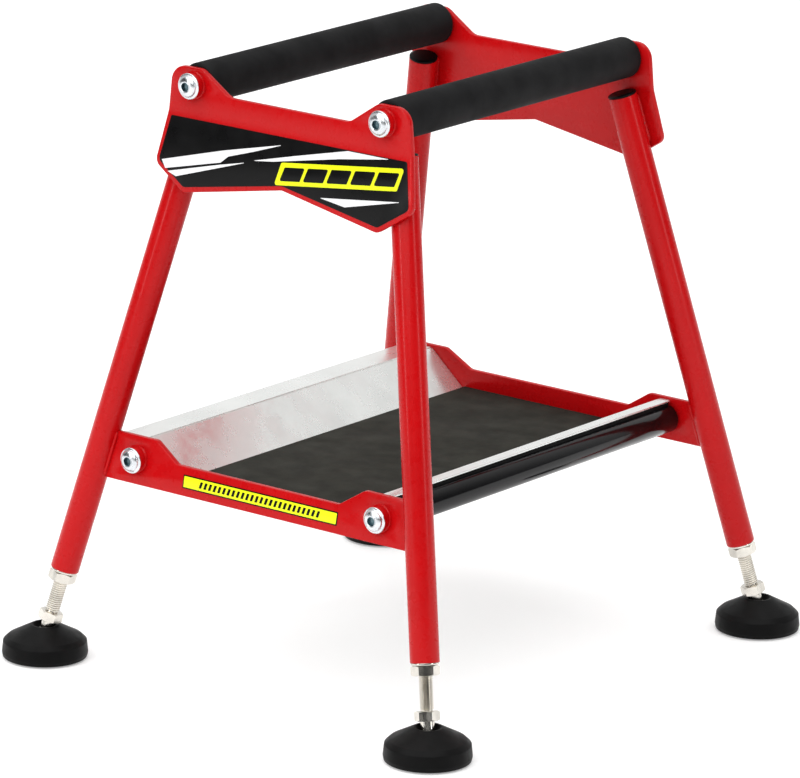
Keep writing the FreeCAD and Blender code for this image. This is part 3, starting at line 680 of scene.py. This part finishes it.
def make_foot(corner):
    """Round foot with a straight conical shoulder and a socket for the ball."""
    socket_r = BALL_R + SOCKET_GAP
    throat_r = math.sqrt(socket_r ** 2 - THROAT_RISE ** 2)
    underside = [(0, PAD_FLOOR), (GRIP_SEAT_R, PAD_FLOOR), (GRIP_SEAT_R, 1.0)]
    outside = [(29.4, 1.0), (30.0, 4.0), (29.2, 12.0), (26.0, 15.0), (9.8, PAD_TOP)]
    mouth = [(8.6, PAD_TOP), (throat_r, BALL_Z + THROAT_RISE)]
    eases = [0, 0.2, 0.3, 0.5, 1.0, 1.2, 3.0, 0.5, 0.4, 0]
    rings = rod_rings(underside + outside + mouth, eases)
    start = math.atan2(throat_r, THROAT_RISE)
    for step in range(1, SOCKET_STEPS):
        angle = start + (math.pi - start) * step / SOCKET_STEPS
        rings.append((socket_r * math.sin(angle), BALL_Z + socket_r * math.cos(angle)))
    rings.append((0.0, BALL_Z - socket_r))
    bm = bmesh.new()
    turned(bm, rings, 96)
    piece(f"foot_{corner}", bm, BLACK_PLASTIC, f"foot_pad_{corner}", [f"foot_pad_{corner}"],
          foot_place(corner))


def make_grip(corner):
    """Non-slip disc: concentric grooves underneath."""
    groove, crest, floor = 0.9, 1.0, 0.6
    profile = [(0, PAD_FLOOR), (GRIP_R, PAD_FLOOR), (GRIP_R, 0.0)]
    eases = [0, 0.3, 0.5]
    for radius in (21.0, 16.0, 11.0, 6.0):
        profile += [(radius + crest, 0.0), (radius + floor, groove)]
        profile += [(radius - floor, groove), (radius - crest, 0.0)]
        eases += [0.2] * 4
    profile.append((0, 0.0))
    eases.append(0)
    bm = bmesh.new()
    turned(bm, rod_rings(profile, eases), 96)
    piece(f"foot_grip_disc_{corner}", bm, GRIP_RUBBER, f"foot_pad_{corner}",
          [f"foot_grip_{corner}"], foot_place(corner))


# ---------------------------------------------------------------- side plates

BEND_Z = 391.0
BEND_SPAN = 3.0
PANEL_OUTER = (TUBE_R + PLATE) * LEAN_STRETCH
EAR_OUTER = axis_y(BEND_Z) + PANEL_OUTER
BOSS_R = 8.5
TOP_BOLT = (82.3, 411.1)
LOWER_BOLT = (106.7, 149.6)

# Corners of the upper plate's +X half, as (X, Z).  The sticker follows the last four.
PANEL_BEND, PANEL_SIDE = (105, 391), (111.3, 354.6)
PANEL_TOE, PANEL_MIDDLE = (84, 337.5), (0, 352.3)
UPPER_HALF = [(0, 406.5), (51.5, 406.5), (76, 422.8), (101.8, 422.8),
              PANEL_BEND, PANEL_SIDE, PANEL_TOE, PANEL_MIDDLE]
UPPER_RADII = [0, 12, 9, 12, 3, 7, 7, 6]

RIB_TOP, RIB_VALLEY, RIB_BASE = 165.0, 152.0, 132.3
RIB_OUTER = 0.3
RIB_BEND, RIB_RISE = 70.5, 91
RIB_BITE = 0.985

# Weld beads: sizes, and each panel bead's distance from the leg axis and end heights.
RIB_BEAD, PANEL_BEAD, BOSS_BEAD = 1.5, 1.6, 0.95
PANEL_LINES = ((-5.6, 344.0, 386.0), (5.6, 353.0, 386.0))


def upper_face(z):
    """Distance of an upper plate's outer face from Y = 0, softened at the bend."""
    if z <= BEND_Z - BEND_SPAN:
        return panel_face(z)
    if z >= BEND_Z + BEND_SPAN:
        return EAR_OUTER
    share = (z - BEND_Z + BEND_SPAN) / (2 * BEND_SPAN)
    return EAR_OUTER + LEAN_Y * BEND_SPAN * (1 - share) ** 2


def panel_face(z):
    """Distance of an upper plate's leaning outer face from Y = 0."""
    return axis_y(z) + PANEL_OUTER


def rib_face(z):
    """Distance of a lower plate's outer face from Y = 0."""
    return axis_y(z) + RIB_OUTER


def bolt_holes(spot):
    return [circle(end * spot[0], spot[1], BOSS_R) for end in ENDS.values()]


def make_upper_plate(side):
    """Plate with upright ears above a bend and a leaning panel below it."""
    bm = bmesh.new()
    points, radii = mirrored(UPPER_HALF, UPPER_RADII)
    cuts = [BEND_Z + BEND_SPAN * step / 2 for step in (-2, -1, 0, 1, 2)]
    slab(bm, rounded(points, radii, steps=10), PLATE, bolt_holes(TOP_BOLT), ease=0.7, cuts=cuts)
    for vertex in bm.verts:
        depth = vertex.co.y * (LEAN_STRETCH if vertex.co.z < BEND_Z else 1.0)
        vertex.co.y = SIDES[side] * (upper_face(vertex.co.z) - depth)
    piece(f"upper_side_plate_{side}", bm, RED, "frame", [f"upper_plate_{side}"])


def make_lower_plate(side):
    """Plate between two legs, with a raised ear at each end."""
    bm = bmesh.new()
    reach = TUBE_R * math.sqrt(1 + LEAN_X ** 2) * RIB_BITE
    half = [(0, RIB_VALLEY), (RIB_BEND, RIB_VALLEY), (RIB_RISE, RIB_TOP),
            (axis_x(RIB_TOP) - reach, RIB_TOP), (axis_x(RIB_BASE) - reach, RIB_BASE)]
    points, radii = mirrored(half, [0, 6, 6, 0, 0])
    slab(bm, rounded(points, radii, steps=8), PLATE, bolt_holes(LOWER_BOLT), ease=0.6)
    for vertex in bm.verts:
        vertex.co.y = SIDES[side] * (rib_face(vertex.co.z) - vertex.co.y)
    piece(f"lower_side_plate_{side}", bm, RED, "frame", [f"lower_plate_{side}"])


def make_welds(side):
    """Painted weld beads between legs, plates and bosses on one side."""
    bm = bmesh.new()

    def beside_leg(end, across, outwards, low, high, radius):
        ends = [Vector((end * (axis_x(z) + across), SIDES[side] * (axis_y(z) + outwards), z))
                for z in (low, high)]
        bead(bm, line(*ends), radius)

    for end in ENDS.values():
        for outwards in (RIB_OUTER + 0.5, RIB_OUTER - PLATE - 0.5):
            beside_leg(end, -TUBE_R - 0.2, outwards, RIB_BASE + 1.2, RIB_TOP - 0.8, RIB_BEAD)
        for across, low, high in PANEL_LINES:
            beside_leg(end, across, TUBE_R - 0.7, low, high, PANEL_BEAD)
        for (x, z), face in ((TOP_BOLT, upper_face), (LOWER_BOLT, rib_face)):
            ring = circle(end * x, z, BOSS_R + 0.15, 60)
            path = [Vector((p.x, SIDES[side] * (face(p.y) + 0.1), p.y)) for p in ring]
            bead(bm, path, BOSS_BEAD, closed=True, ripple=0.08)
    piece(f"weld_beads_{side}", bm, RED, "frame")


# ---------------------------------------------------------------- tubes, bosses and bolts

END_GAP = 0.1
RAIL_HALF = EAR_OUTER - PLATE - END_GAP
CROSS_HALF = axis_y(LOWER_BOLT[1] + TUBE_R) + RIB_OUTER - PLATE - END_GAP
TOP_SEAT = 141.4
LOWER_SEAT = 170.9
SLEEVE_R = 14.4
SLEEVE_GAP = 0.2
BOSS_BORE = 4.25

BOLT_R, BOLT_TIP_R, BOLT_LENGTH = 4.0, 3.3, 24.0
FLANGE_R, FLANGE_TOP = 9.0, 1.3
DOME_R, DOME_FOOT, HEAD_TOP = 7.3, 1.9, 4.6
# The dome is a squarish quarter curve between two angles.
DOME_START, DOME_TURN, DOME_STEPS, DOME_POWER = 8, 62, 7, 0.75
KEY_FLATS, KEY_DEPTH = 6.0, 3.0
# Where the two bolts on a side came to rest, in degrees.
BOLT_TURNS = (17, 40)


def make_tubes(end):
    """Rail core, its sleeve and the tube under the tray, at one end."""
    def bare_tube(length):
        return tube_rings(TUBE_R, TUBE_BORE, 0.0, length, 0.4)

    def sleeve(length):
        bore = TUBE_R + 0.05
        section = [(SLEEVE_R, 0.0), (SLEEVE_R, length), (bore, length), (bore, 0.0)]
        return as_rings(section, [1.6, 1.6, 0.4, 0.4], 5)

    for name, spot, half, rings_of, material, node, slot in (
        ("rail_core", TOP_BOLT, RAIL_HALF, bare_tube, BLACK_PAINT, "rail_tube", "black_paint"),
        ("rail_rubber", TOP_BOLT, RAIL_HALF - SLEEVE_GAP, sleeve, SLEEVE_RUBBER, "rail_sleeve",
         "black_rubber"),
        ("tray_tube", LOWER_BOLT, CROSS_HALF, bare_tube, BLACK_PAINT, "cross_tube", "black_paint"),
    ):
        bm = bmesh.new()
        turned(bm, rings_of(2 * half))
        place = out_place("right", ENDS[end] * spot[0], -half, spot[1])
        piece(f"{name}_{end}", bm, material, "frame", [f"{node}_{end}"], place)


def bolt(bm):
    """Flanged button head with a hexagon socket, its seat at Z = 0."""
    def socket(z, share=1.0):
        return lambda angle: (across_flats(KEY_FLATS, angle) * share, z)

    shank = [(0, -BOLT_LENGTH), (BOLT_TIP_R, -BOLT_LENGTH),
             (BOLT_R, 0.8 - BOLT_LENGTH), (BOLT_R, 0.0)]
    flange = [(FLANGE_R - 0.3, 0.0), (FLANGE_R, 0.3), (FLANGE_R, 0.75), (FLANGE_R - 0.25, 1.05),
              (FLANGE_R - 1.2, FLANGE_TOP)]
    foot = [(DOME_R + 0.5, FLANGE_TOP + 0.05), (DOME_R + 0.08, FLANGE_TOP + 0.4)]
    dome = []
    for step in range(DOME_STEPS + 1):
        angle = math.radians(DOME_START + DOME_TURN * step / DOME_STEPS)
        height = DOME_FOOT + (HEAD_TOP - DOME_FOOT) * math.sin(angle)
        dome.append((DOME_R * math.cos(angle) ** DOME_POWER, height))
    rim = [(KEY_FLATS / 2 * 1.3, HEAD_TOP), socket(HEAD_TOP - 0.25)]
    floor = HEAD_TOP - KEY_DEPTH
    bottom = [socket(floor), socket(floor - 0.02, 0.6), (0, floor - 0.7)]
    turned(bm, shank + flange + foot + dome + rim + bottom)

    # Faces inside the hexagon socket take the second, darker slot: painted shade in the recess.
    socket_reach = KEY_FLATS * 0.58
    for face in bm.faces:
        middle = face.calc_center_median()
        in_head = 0.0 < middle.z < HEAD_TOP - 0.1
        in_painted_socket_shade = in_head and math.hypot(middle.x, middle.y) < socket_reach
        face.material_index = 1 if in_painted_socket_shade else 0


def boss(length):
    """Round boss with a bolt hole, its outer edge eased."""
    def build(bm):
        section = [(BOSS_BORE, 0.0), (BOSS_R, 0.0), (BOSS_R, length), (BOSS_BORE, length)]
        turned(bm, as_rings(section, [0.3, 0.3, 0.7, 0.4], 3))
    return build


def make_fasteners(label, spot, inner, seat):
    """Bosses and bolts at the four ends of a pair of tubes."""
    x, z = spot
    bolts = bmesh.new()
    for side in SIDES:
        bosses = bmesh.new()
        for turn, end in zip(BOLT_TURNS, ENDS.values()):
            merged(bosses, boss(seat - inner), out_place(side, end * x, inner, z))
            spin = Matrix.Rotation(math.radians(turn), 4, "Z")
            merged(bolts, bolt, out_place(side, end * x, seat, z) @ spin)
        piece(f"{label}_boss_pair_{side}", bosses, RED, "frame", [f"{label}_bosses_{side}"])
    heads = piece(f"{label}_bolt_set", bolts, ZINC, "frame", [f"{label}_bolts"])
    # Second slot: the darker zinc, painted as shade in the sockets.
    heads.data.materials.append(SOCKET_SHADE_ZINC)


# ---------------------------------------------------------------- tray

SHEET = 1.5
TRAY_MIDDLE = -1.4
FLOOR_HALF, FOLD_HALF = 76.2, 102.1
REAR_FLANGE, FRONT_FLANGE = 22.0, 8.8
TRAY_FLOOR_Z, TRAY_TOP_Z = 136.0, 163.5
TRAY_END_GAP = 0.4
INNER_BEND, OUTER_BEND = 1.5, 3.0
SCORE_HALF, SCORE_DEPTH, SCORE_TAPER = 0.6, 0.95, 0.9
MAT, MAT_GAP = 2.0, 1.0
STRIP_HALF, STRIP_SET, STRIP_SHORT, STRIP_LIFT = 3.5, 1.2, 2.0, 0.01


def tray_end(z):
    """Distance of the tray's end from Y = 0 at height z."""
    return axis_y(z) + RIB_OUTER - PLATE - TRAY_END_GAP


def long_slab(bm, corners, radii, steps, ease, end_at):
    """Outline carried along Y between the plates; 'end_at' gives where it ends."""
    slab(bm, rounded(corners, radii, steps=steps), 1.0, ease=ease)
    for vertex in bm.verts:
        vertex.co.y = end_at(vertex.co.z) * (2 * vertex.co.y - 1)


def make_tray():
    """Folded sheet with a narrow score line along the top of each fold."""
    rise, run = TRAY_TOP_Z - TRAY_FLOOR_Z, FOLD_HALF - FLOOR_HALF
    shift = SHEET * (math.hypot(rise, run) - run) / rise
    low_top, low_floor = TRAY_TOP_Z - SHEET, TRAY_FLOOR_Z - SHEET
    wall_z = TRAY_TOP_Z - SCORE_HALF * rise / run
    groove_z = TRAY_TOP_Z - SCORE_DEPTH
    score = [(FOLD_HALF + SCORE_HALF, TRAY_TOP_Z), (FOLD_HALF + SCORE_HALF * SCORE_TAPER, groove_z),
             (FOLD_HALF, groove_z), (FOLD_HALF - SCORE_HALF, wall_z)]

    def upper_half(flange):
        return [(FOLD_HALF + flange, TRAY_TOP_Z)] + score + [(FLOOR_HALF, TRAY_FLOOR_Z)]

    def lower_half(flange):
        return [(FLOOR_HALF + shift, low_floor), (FOLD_HALF + shift, low_top),
                (FOLD_HALF + flange, low_top)]

    def rearwards(half):
        return [(-x, z) for x, z in half]

    upper = rearwards(upper_half(REAR_FLANGE)) + upper_half(FRONT_FLANGE)[::-1]
    lower = lower_half(FRONT_FLANGE)[::-1] + rearwards(lower_half(REAR_FLANGE))
    upper_radii = [0.6, 0.2, 0.1, 0.1, 0.2, INNER_BEND]
    lower_radii = [0.5, INNER_BEND, OUTER_BEND]
    radii = upper_radii + upper_radii[::-1] + lower_radii + lower_radii[::-1]
    points = [(x + TRAY_MIDDLE, z) for x, z in upper + lower]
    bm = bmesh.new()
    long_slab(bm, points, radii, 5, 0.0005, tray_end)
    piece("folded_tray", bm, ALUMINIUM, "frame", ["tray"], sharp=25)


def make_mat():
    """Mat that lies on the tray's floor."""
    low, high = TRAY_FLOOR_Z, TRAY_FLOOR_Z + MAT
    half = FLOOR_HALF - MAT_GAP
    rear, front = TRAY_MIDDLE - half, TRAY_MIDDLE + half
    corners = [(rear, low), (front, low), (front, high), (rear, high)]
    bm = bmesh.new()
    long_slab(bm, corners, [0.1, 0.1, 0.7, 0.7], 4, 0.001, lambda z: tray_end(high))
    piece("tray_floor_mat", bm, MAT_RUBBER, "frame", ["tray_mat"])


def make_seat(end):
    """Rubber strip between a cross tube and the tray flange on it."""
    sign = ENDS[end]
    middle = TRAY_MIDDLE + sign * (FOLD_HALF + STRIP_SET + STRIP_HALF)
    top = TRAY_TOP_Z - SHEET
    under = []
    for step in range(9):
        x = middle + sign * STRIP_HALF * (step / 4 - 1)
        off_axis = x - sign * LOWER_BOLT[0]
        rise = math.sqrt((TUBE_R + STRIP_LIFT) ** 2 - off_axis ** 2)
        under.append((x, LOWER_BOLT[1] + rise))
    over = [(middle + sign * STRIP_HALF, top), (middle - sign * STRIP_HALF, top)]
    radii = [0] * len(under) + [0.4, 0.4]
    bm = bmesh.new()
    long_slab(bm, under + over, radii, 3, 0.0005, lambda z: CROSS_HALF - STRIP_SHORT)
    piece(f"tray_seat_strip_{end}", bm, STRIP_RUBBER, "frame", [f"tray_seat_{end}"])


# ---------------------------------------------------------------- stickers

# Thickness of a sticker and of the print on it, and the step between layers of print.
FILM = 0.3
PRINT = 0.15
INK = 0.05
DECAL_TOP, DECAL_MARGIN = 387.5, 3.2
LABEL_X, LABEL_LENGTH, LABEL_LOW, LABEL_HIGH = 4.0, 135.0, 137.9, 147.0
LABEL_BORDER = 0.8

# Wedges of the plate sticker, as corners of (X, Z) on the left plate.
WEDGES = [
    [(-105.4, 357.0), (-52.8, 371.0), (-2.0, 382.6), (-27.6, 374.0), (-48.3, 367.6),
     (-54.3, 362.6), (-101.4, 351.6)],
    [(-99.3, 350.0), (-55.6, 360.9), (-31.0, 366.4), (-91.4, 347.6)],
    [(-28.0, 368.0), (10.7, 377.4), (52.0, 387.0), (88.0, 387.0), (45.5, 380.6), (-10.0, 370.2)],
    [(33.0, 353.0), (54.0, 355.4), (102.0, 361.0), (55.0, 350.2)],
]

# Yellow band across the sticker and the plain blocks on it.
BAND_X, BAND_Z, BAND_WIDTH, BAND_HEIGHT = -6.5, 355.2, 103.0, 15.6
BAND_CLIMB, BAND_SLANT = 0.118, 4.0
BLOCKS, BLOCK_X, BLOCK_Z, BLOCK_WIDTH, BLOCK_GAP = 5, -2.4, 358.0, 17.2, 2.6
BLOCK_HEIGHT, BLOCK_SLANT = 9.6, 3.2

MARKS, MARK_PITCH, MARK_WIDTH, MARK_HEIGHT, MARK_SLANT = 26, 4.1, 2.2, 4.4, 1.2


def laid(side, face, raised, depth, z):
    """Y of a point 'depth' under the outer skin of a film on a leaning plate."""
    return SIDES[side] * (face(z) + (raised - depth) * LEAN_STRETCH)


def film(name, side, outline, face, raised, thickness, material, nodes=()):
    """Thin film on a leaning plate, its face 'raised' above the plate."""
    bm = bmesh.new()
    slab(bm, outline, thickness, ease=0.02)
    for vertex in bm.verts:
        vertex.co.y = laid(side, face, raised, vertex.co.y, vertex.co.z)
    piece(name, bm, material, "frame", list(nodes))


def slanted_block(x, z, width, height, climb, slant):
    """Parallelogram that climbs to the right and leans over."""
    rise = width * climb
    return [(x, z), (x + width, z + rise), (x + width + slant, z + rise + height),
            (x + slant, z + height)]


def make_plate_sticker(side):
    """Black film with white wedges and a plain yellow and black block pattern."""
    flip = -SIDES[side]
    half = [(0, DECAL_TOP), (PANEL_BEND[0] - DECAL_MARGIN, DECAL_TOP),
            (PANEL_SIDE[0] - DECAL_MARGIN, PANEL_SIDE[1] + DECAL_MARGIN * 0.6),
            (PANEL_TOE[0], PANEL_TOE[1] + DECAL_MARGIN * 1.2),
            (PANEL_MIDDLE[0], PANEL_MIDDLE[1] + DECAL_MARGIN)]
    points, radii = mirrored(half, [0, 1.5, 4, 5, 4])
    base = rounded(points, radii, steps=5)
    film(f"plate_film_{side}", side, base, panel_face, FILM, FILM, FILM_BLACK,
         [f"plate_sticker_{side}"])

    def printed(name, corners, radius, layer, material):
        flipped = [(flip * x, z) for x, z in corners]
        outline = rounded(flipped, [radius] * len(corners), steps=3)
        film(f"{name}_{side}", side, outline, panel_face, FILM + layer * INK, PRINT, material)

    for number, corners in enumerate(WEDGES, start=1):
        printed(f"plate_wedge_{number}", corners, 0.15, 1, FILM_WHITE)
    band = slanted_block(BAND_X, BAND_Z, BAND_WIDTH, BAND_HEIGHT, BAND_CLIMB, BAND_SLANT)
    printed("plate_band", band, 1.6, 1, FILM_YELLOW)
    for number in range(BLOCKS):
        x = BLOCK_X + number * (BLOCK_WIDTH + BLOCK_GAP)
        z = BLOCK_Z + (x - BAND_X) * BAND_CLIMB
        block = slanted_block(x, z, BLOCK_WIDTH, BLOCK_HEIGHT, BAND_CLIMB, BLOCK_SLANT)
        printed(f"plate_block_{number + 1}", block, 1.0, 2, FILM_BLACK)


def make_rib_label(side):
    """Yellow strip with a dark border and a plain row of slanted marks."""
    flip = -SIDES[side]
    half = LABEL_LENGTH / 2

    def strip(margin, radius):
        near, far = LABEL_X + (-half + margin), LABEL_X + (half - margin)
        low, high = LABEL_LOW + margin, LABEL_HIGH - margin
        corners = [(near, low), (far, low), (far, high), (near, high)]
        return rounded(corners, [radius] * 4, steps=3)

    film(f"label_border_{side}", side, strip(0.0, 0.5), rib_face, FILM, FILM, FILM_BLACK)
    film(f"label_ground_{side}", side, strip(LABEL_BORDER, 0.4), rib_face, FILM + INK, PRINT,
         FILM_YELLOW, [f"rib_label_{side}"])
    bm = bmesh.new()
    first = LABEL_X - (MARKS * MARK_PITCH) / 2
    low = (LABEL_LOW + LABEL_HIGH) / 2 - MARK_HEIGHT / 2
    for number in range(MARKS):
        start = first + number * MARK_PITCH
        block = slanted_block(start, low, MARK_WIDTH, MARK_HEIGHT, 0.0, MARK_SLANT)
        flipped = [(flip * (x - LABEL_X) + LABEL_X, z) for x, z in block]
        outline = rounded(flipped, [0.2] * 4, steps=2)
        merged(bm, lambda part, outline=outline: slab(part, outline, PRINT, ease=0.02),
               Matrix.Identity(4))
    for vertex in bm.verts:
        vertex.co.y = laid(side, rib_face, FILM + 2 * INK, vertex.co.y, vertex.co.z)
    piece(f"label_marks_{side}", bm, FILM_BLACK, "frame")


# ---------------------------------------------------------------- build

for corner_name in CORNERS:
    make_leg(corner_name)
    make_leg_cap(corner_name)
    make_leg_insert(corner_name)
    make_stud(corner_name)
    make_nut(corner_name)
    make_foot(corner_name)
    make_grip(corner_name)

for side_name in SIDES:
    make_upper_plate(side_name)
    make_lower_plate(side_name)
    make_welds(side_name)
    make_plate_sticker(side_name)
    make_rib_label(side_name)

for end_name in ENDS:
    make_tubes(end_name)
    make_seat(end_name)

make_fasteners("rail", TOP_BOLT, RAIL_HALF + END_GAP, TOP_SEAT)
make_fasteners("cross", LOWER_BOLT, CROSS_HALF, LOWER_SEAT)
make_tray()
make_mat()

# The plugs hidden in the tube ends show their CAD meshes, in zinc.
for node_name in ("rail_tube_plugs", "cross_tube_plugs"):
    plug_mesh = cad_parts[node_name].data
    plug_mesh.materials.clear()
    plug_mesh.materials.append(ZINC)


# ---------------------------------------------------------------- floor, light and camera

# The floor lies just under the feet, so that the two never share a surface.
FLOOR_REACH, FLOOR_DROP = 12.0, 0.0002

# A long lens, a little above the stand, from its front left corner; in metres and degrees.
CAMERA_PLACE = (2.5781, -3.3031, 1.3600)
CAMERA_AZIMUTH, CAMERA_ELEVATION, CAMERA_ROLL = 38.056, 15.673, 0.967
LENS, SENSOR = 282.1, 36.0


def show(name, data):
    """Add an object that isn't part of the stand to the scene."""
    thing = bpy.data.objects.new(name, data)
    bpy.context.scene.collection.objects.link(thing)
    return thing


def aim(direction):
    """Turn for a lamp that shines along a direction."""
    return Vector(direction).to_track_quat("-Z", "Y").to_euler()


def make_floor():
    bm = bmesh.new()
    bmesh.ops.create_grid(bm, x_segments=8, y_segments=8, size=FLOOR_REACH)
    mesh = bpy.data.meshes.new("studio_floor")
    bm.to_mesh(mesh)
    bm.free()
    mesh.materials.append(FLOOR)
    thing = show("studio_floor", mesh)
    thing.location.z = -FLOOR_DROP


def make_softbox(name, place, target, width, height, power):
    """Rectangular soft lamp that faces a target."""
    data = bpy.data.lights.new(name, "AREA")
    data.shape = "RECTANGLE"
    data.size = width
    data.size_y = height
    data.energy = power
    thing = show(name, data)
    thing.location = place
    thing.rotation_euler = aim(Vector(target) - Vector(place))


def make_world(backdrop, room, towards_backdrop, fade_from, fade_to):
    """Dim room with a bright backdrop on one side, behind the stand."""
    world = bpy.data.worlds.new("studio")
    world.use_nodes = True
    tree = world.node_tree
    place = tree.nodes.new("ShaderNodeTexCoord")
    towards = tree.nodes.new("ShaderNodeVectorMath")
    towards.operation = "DOT_PRODUCT"
    towards.inputs[1].default_value = Vector(towards_backdrop).normalized()
    fade = tree.nodes.new("ShaderNodeMapRange")
    fade.interpolation_type = "SMOOTHSTEP"
    fade.inputs["From Min"].default_value = fade_from
    fade.inputs["From Max"].default_value = fade_to
    fade.inputs["To Min"].default_value = room
    fade.inputs["To Max"].default_value = backdrop
    tree.links.new(place.outputs["Generated"], towards.inputs[0])
    tree.links.new(towards.outputs["Value"], fade.inputs["Value"])
    tree.links.new(fade.outputs["Result"], tree.nodes["Background"].inputs["Strength"])
    tree.nodes["Background"].inputs["Color"].default_value = (1.0, 1.0, 1.0, 1.0)
    bpy.context.scene.world = world


def make_sky_light(strength, spread, direction):
    """Very soft, even light from above, as from a large diffuser."""
    data = bpy.data.lights.new("diffuser", "SUN")
    data.energy = strength
    data.angle = math.radians(spread)
    show("diffuser", data).rotation_euler = aim(direction)


def make_camera():
    """Camera that looks along its azimuth and elevation, rolled a little."""
    azimuth, elevation = math.radians(CAMERA_AZIMUTH), math.radians(CAMERA_ELEVATION)
    roll = math.radians(CAMERA_ROLL)
    back = Vector((math.sin(azimuth) * math.cos(elevation),
                   -math.cos(azimuth) * math.cos(elevation), math.sin(elevation)))
    right = Vector((math.cos(azimuth), math.sin(azimuth), 0.0))
    up = back.cross(right)
    rolled_right = right * math.cos(roll) + up * math.sin(roll)
    rolled_up = up * math.cos(roll) - right * math.sin(roll)
    turn = Matrix((rolled_right, rolled_up, back)).transposed().to_4x4()
    data = bpy.data.cameras.new("camera")
    data.lens = LENS
    data.sensor_width = SENSOR
    data.clip_end = 60.0
    thing = show("camera", data)
    thing.matrix_world = Matrix.Translation(CAMERA_PLACE) @ turn
    bpy.context.scene.camera = thing


make_floor()
make_world(backdrop=0.87, room=0.045, towards_backdrop=(-0.5, 0.8, 0.35),
           fade_from=0.1, fade_to=0.75)
make_sky_light(strength=3.0, spread=90.0, direction=(-0.1, 0.5, -1.0))
make_softbox("left_key", place=(-0.9, -3.0, 1.2), target=(0.0, 0.0, 0.25),
             width=0.35, height=1.8, power=17.0)
make_softbox("right_fill", place=(2.8, 0.4, 1.0), target=(0.0, 0.0, 0.25),
             width=0.5, height=1.6, power=12.0)
make_camera()
bpy.context.scene.view_settings.view_transform = "Standard"
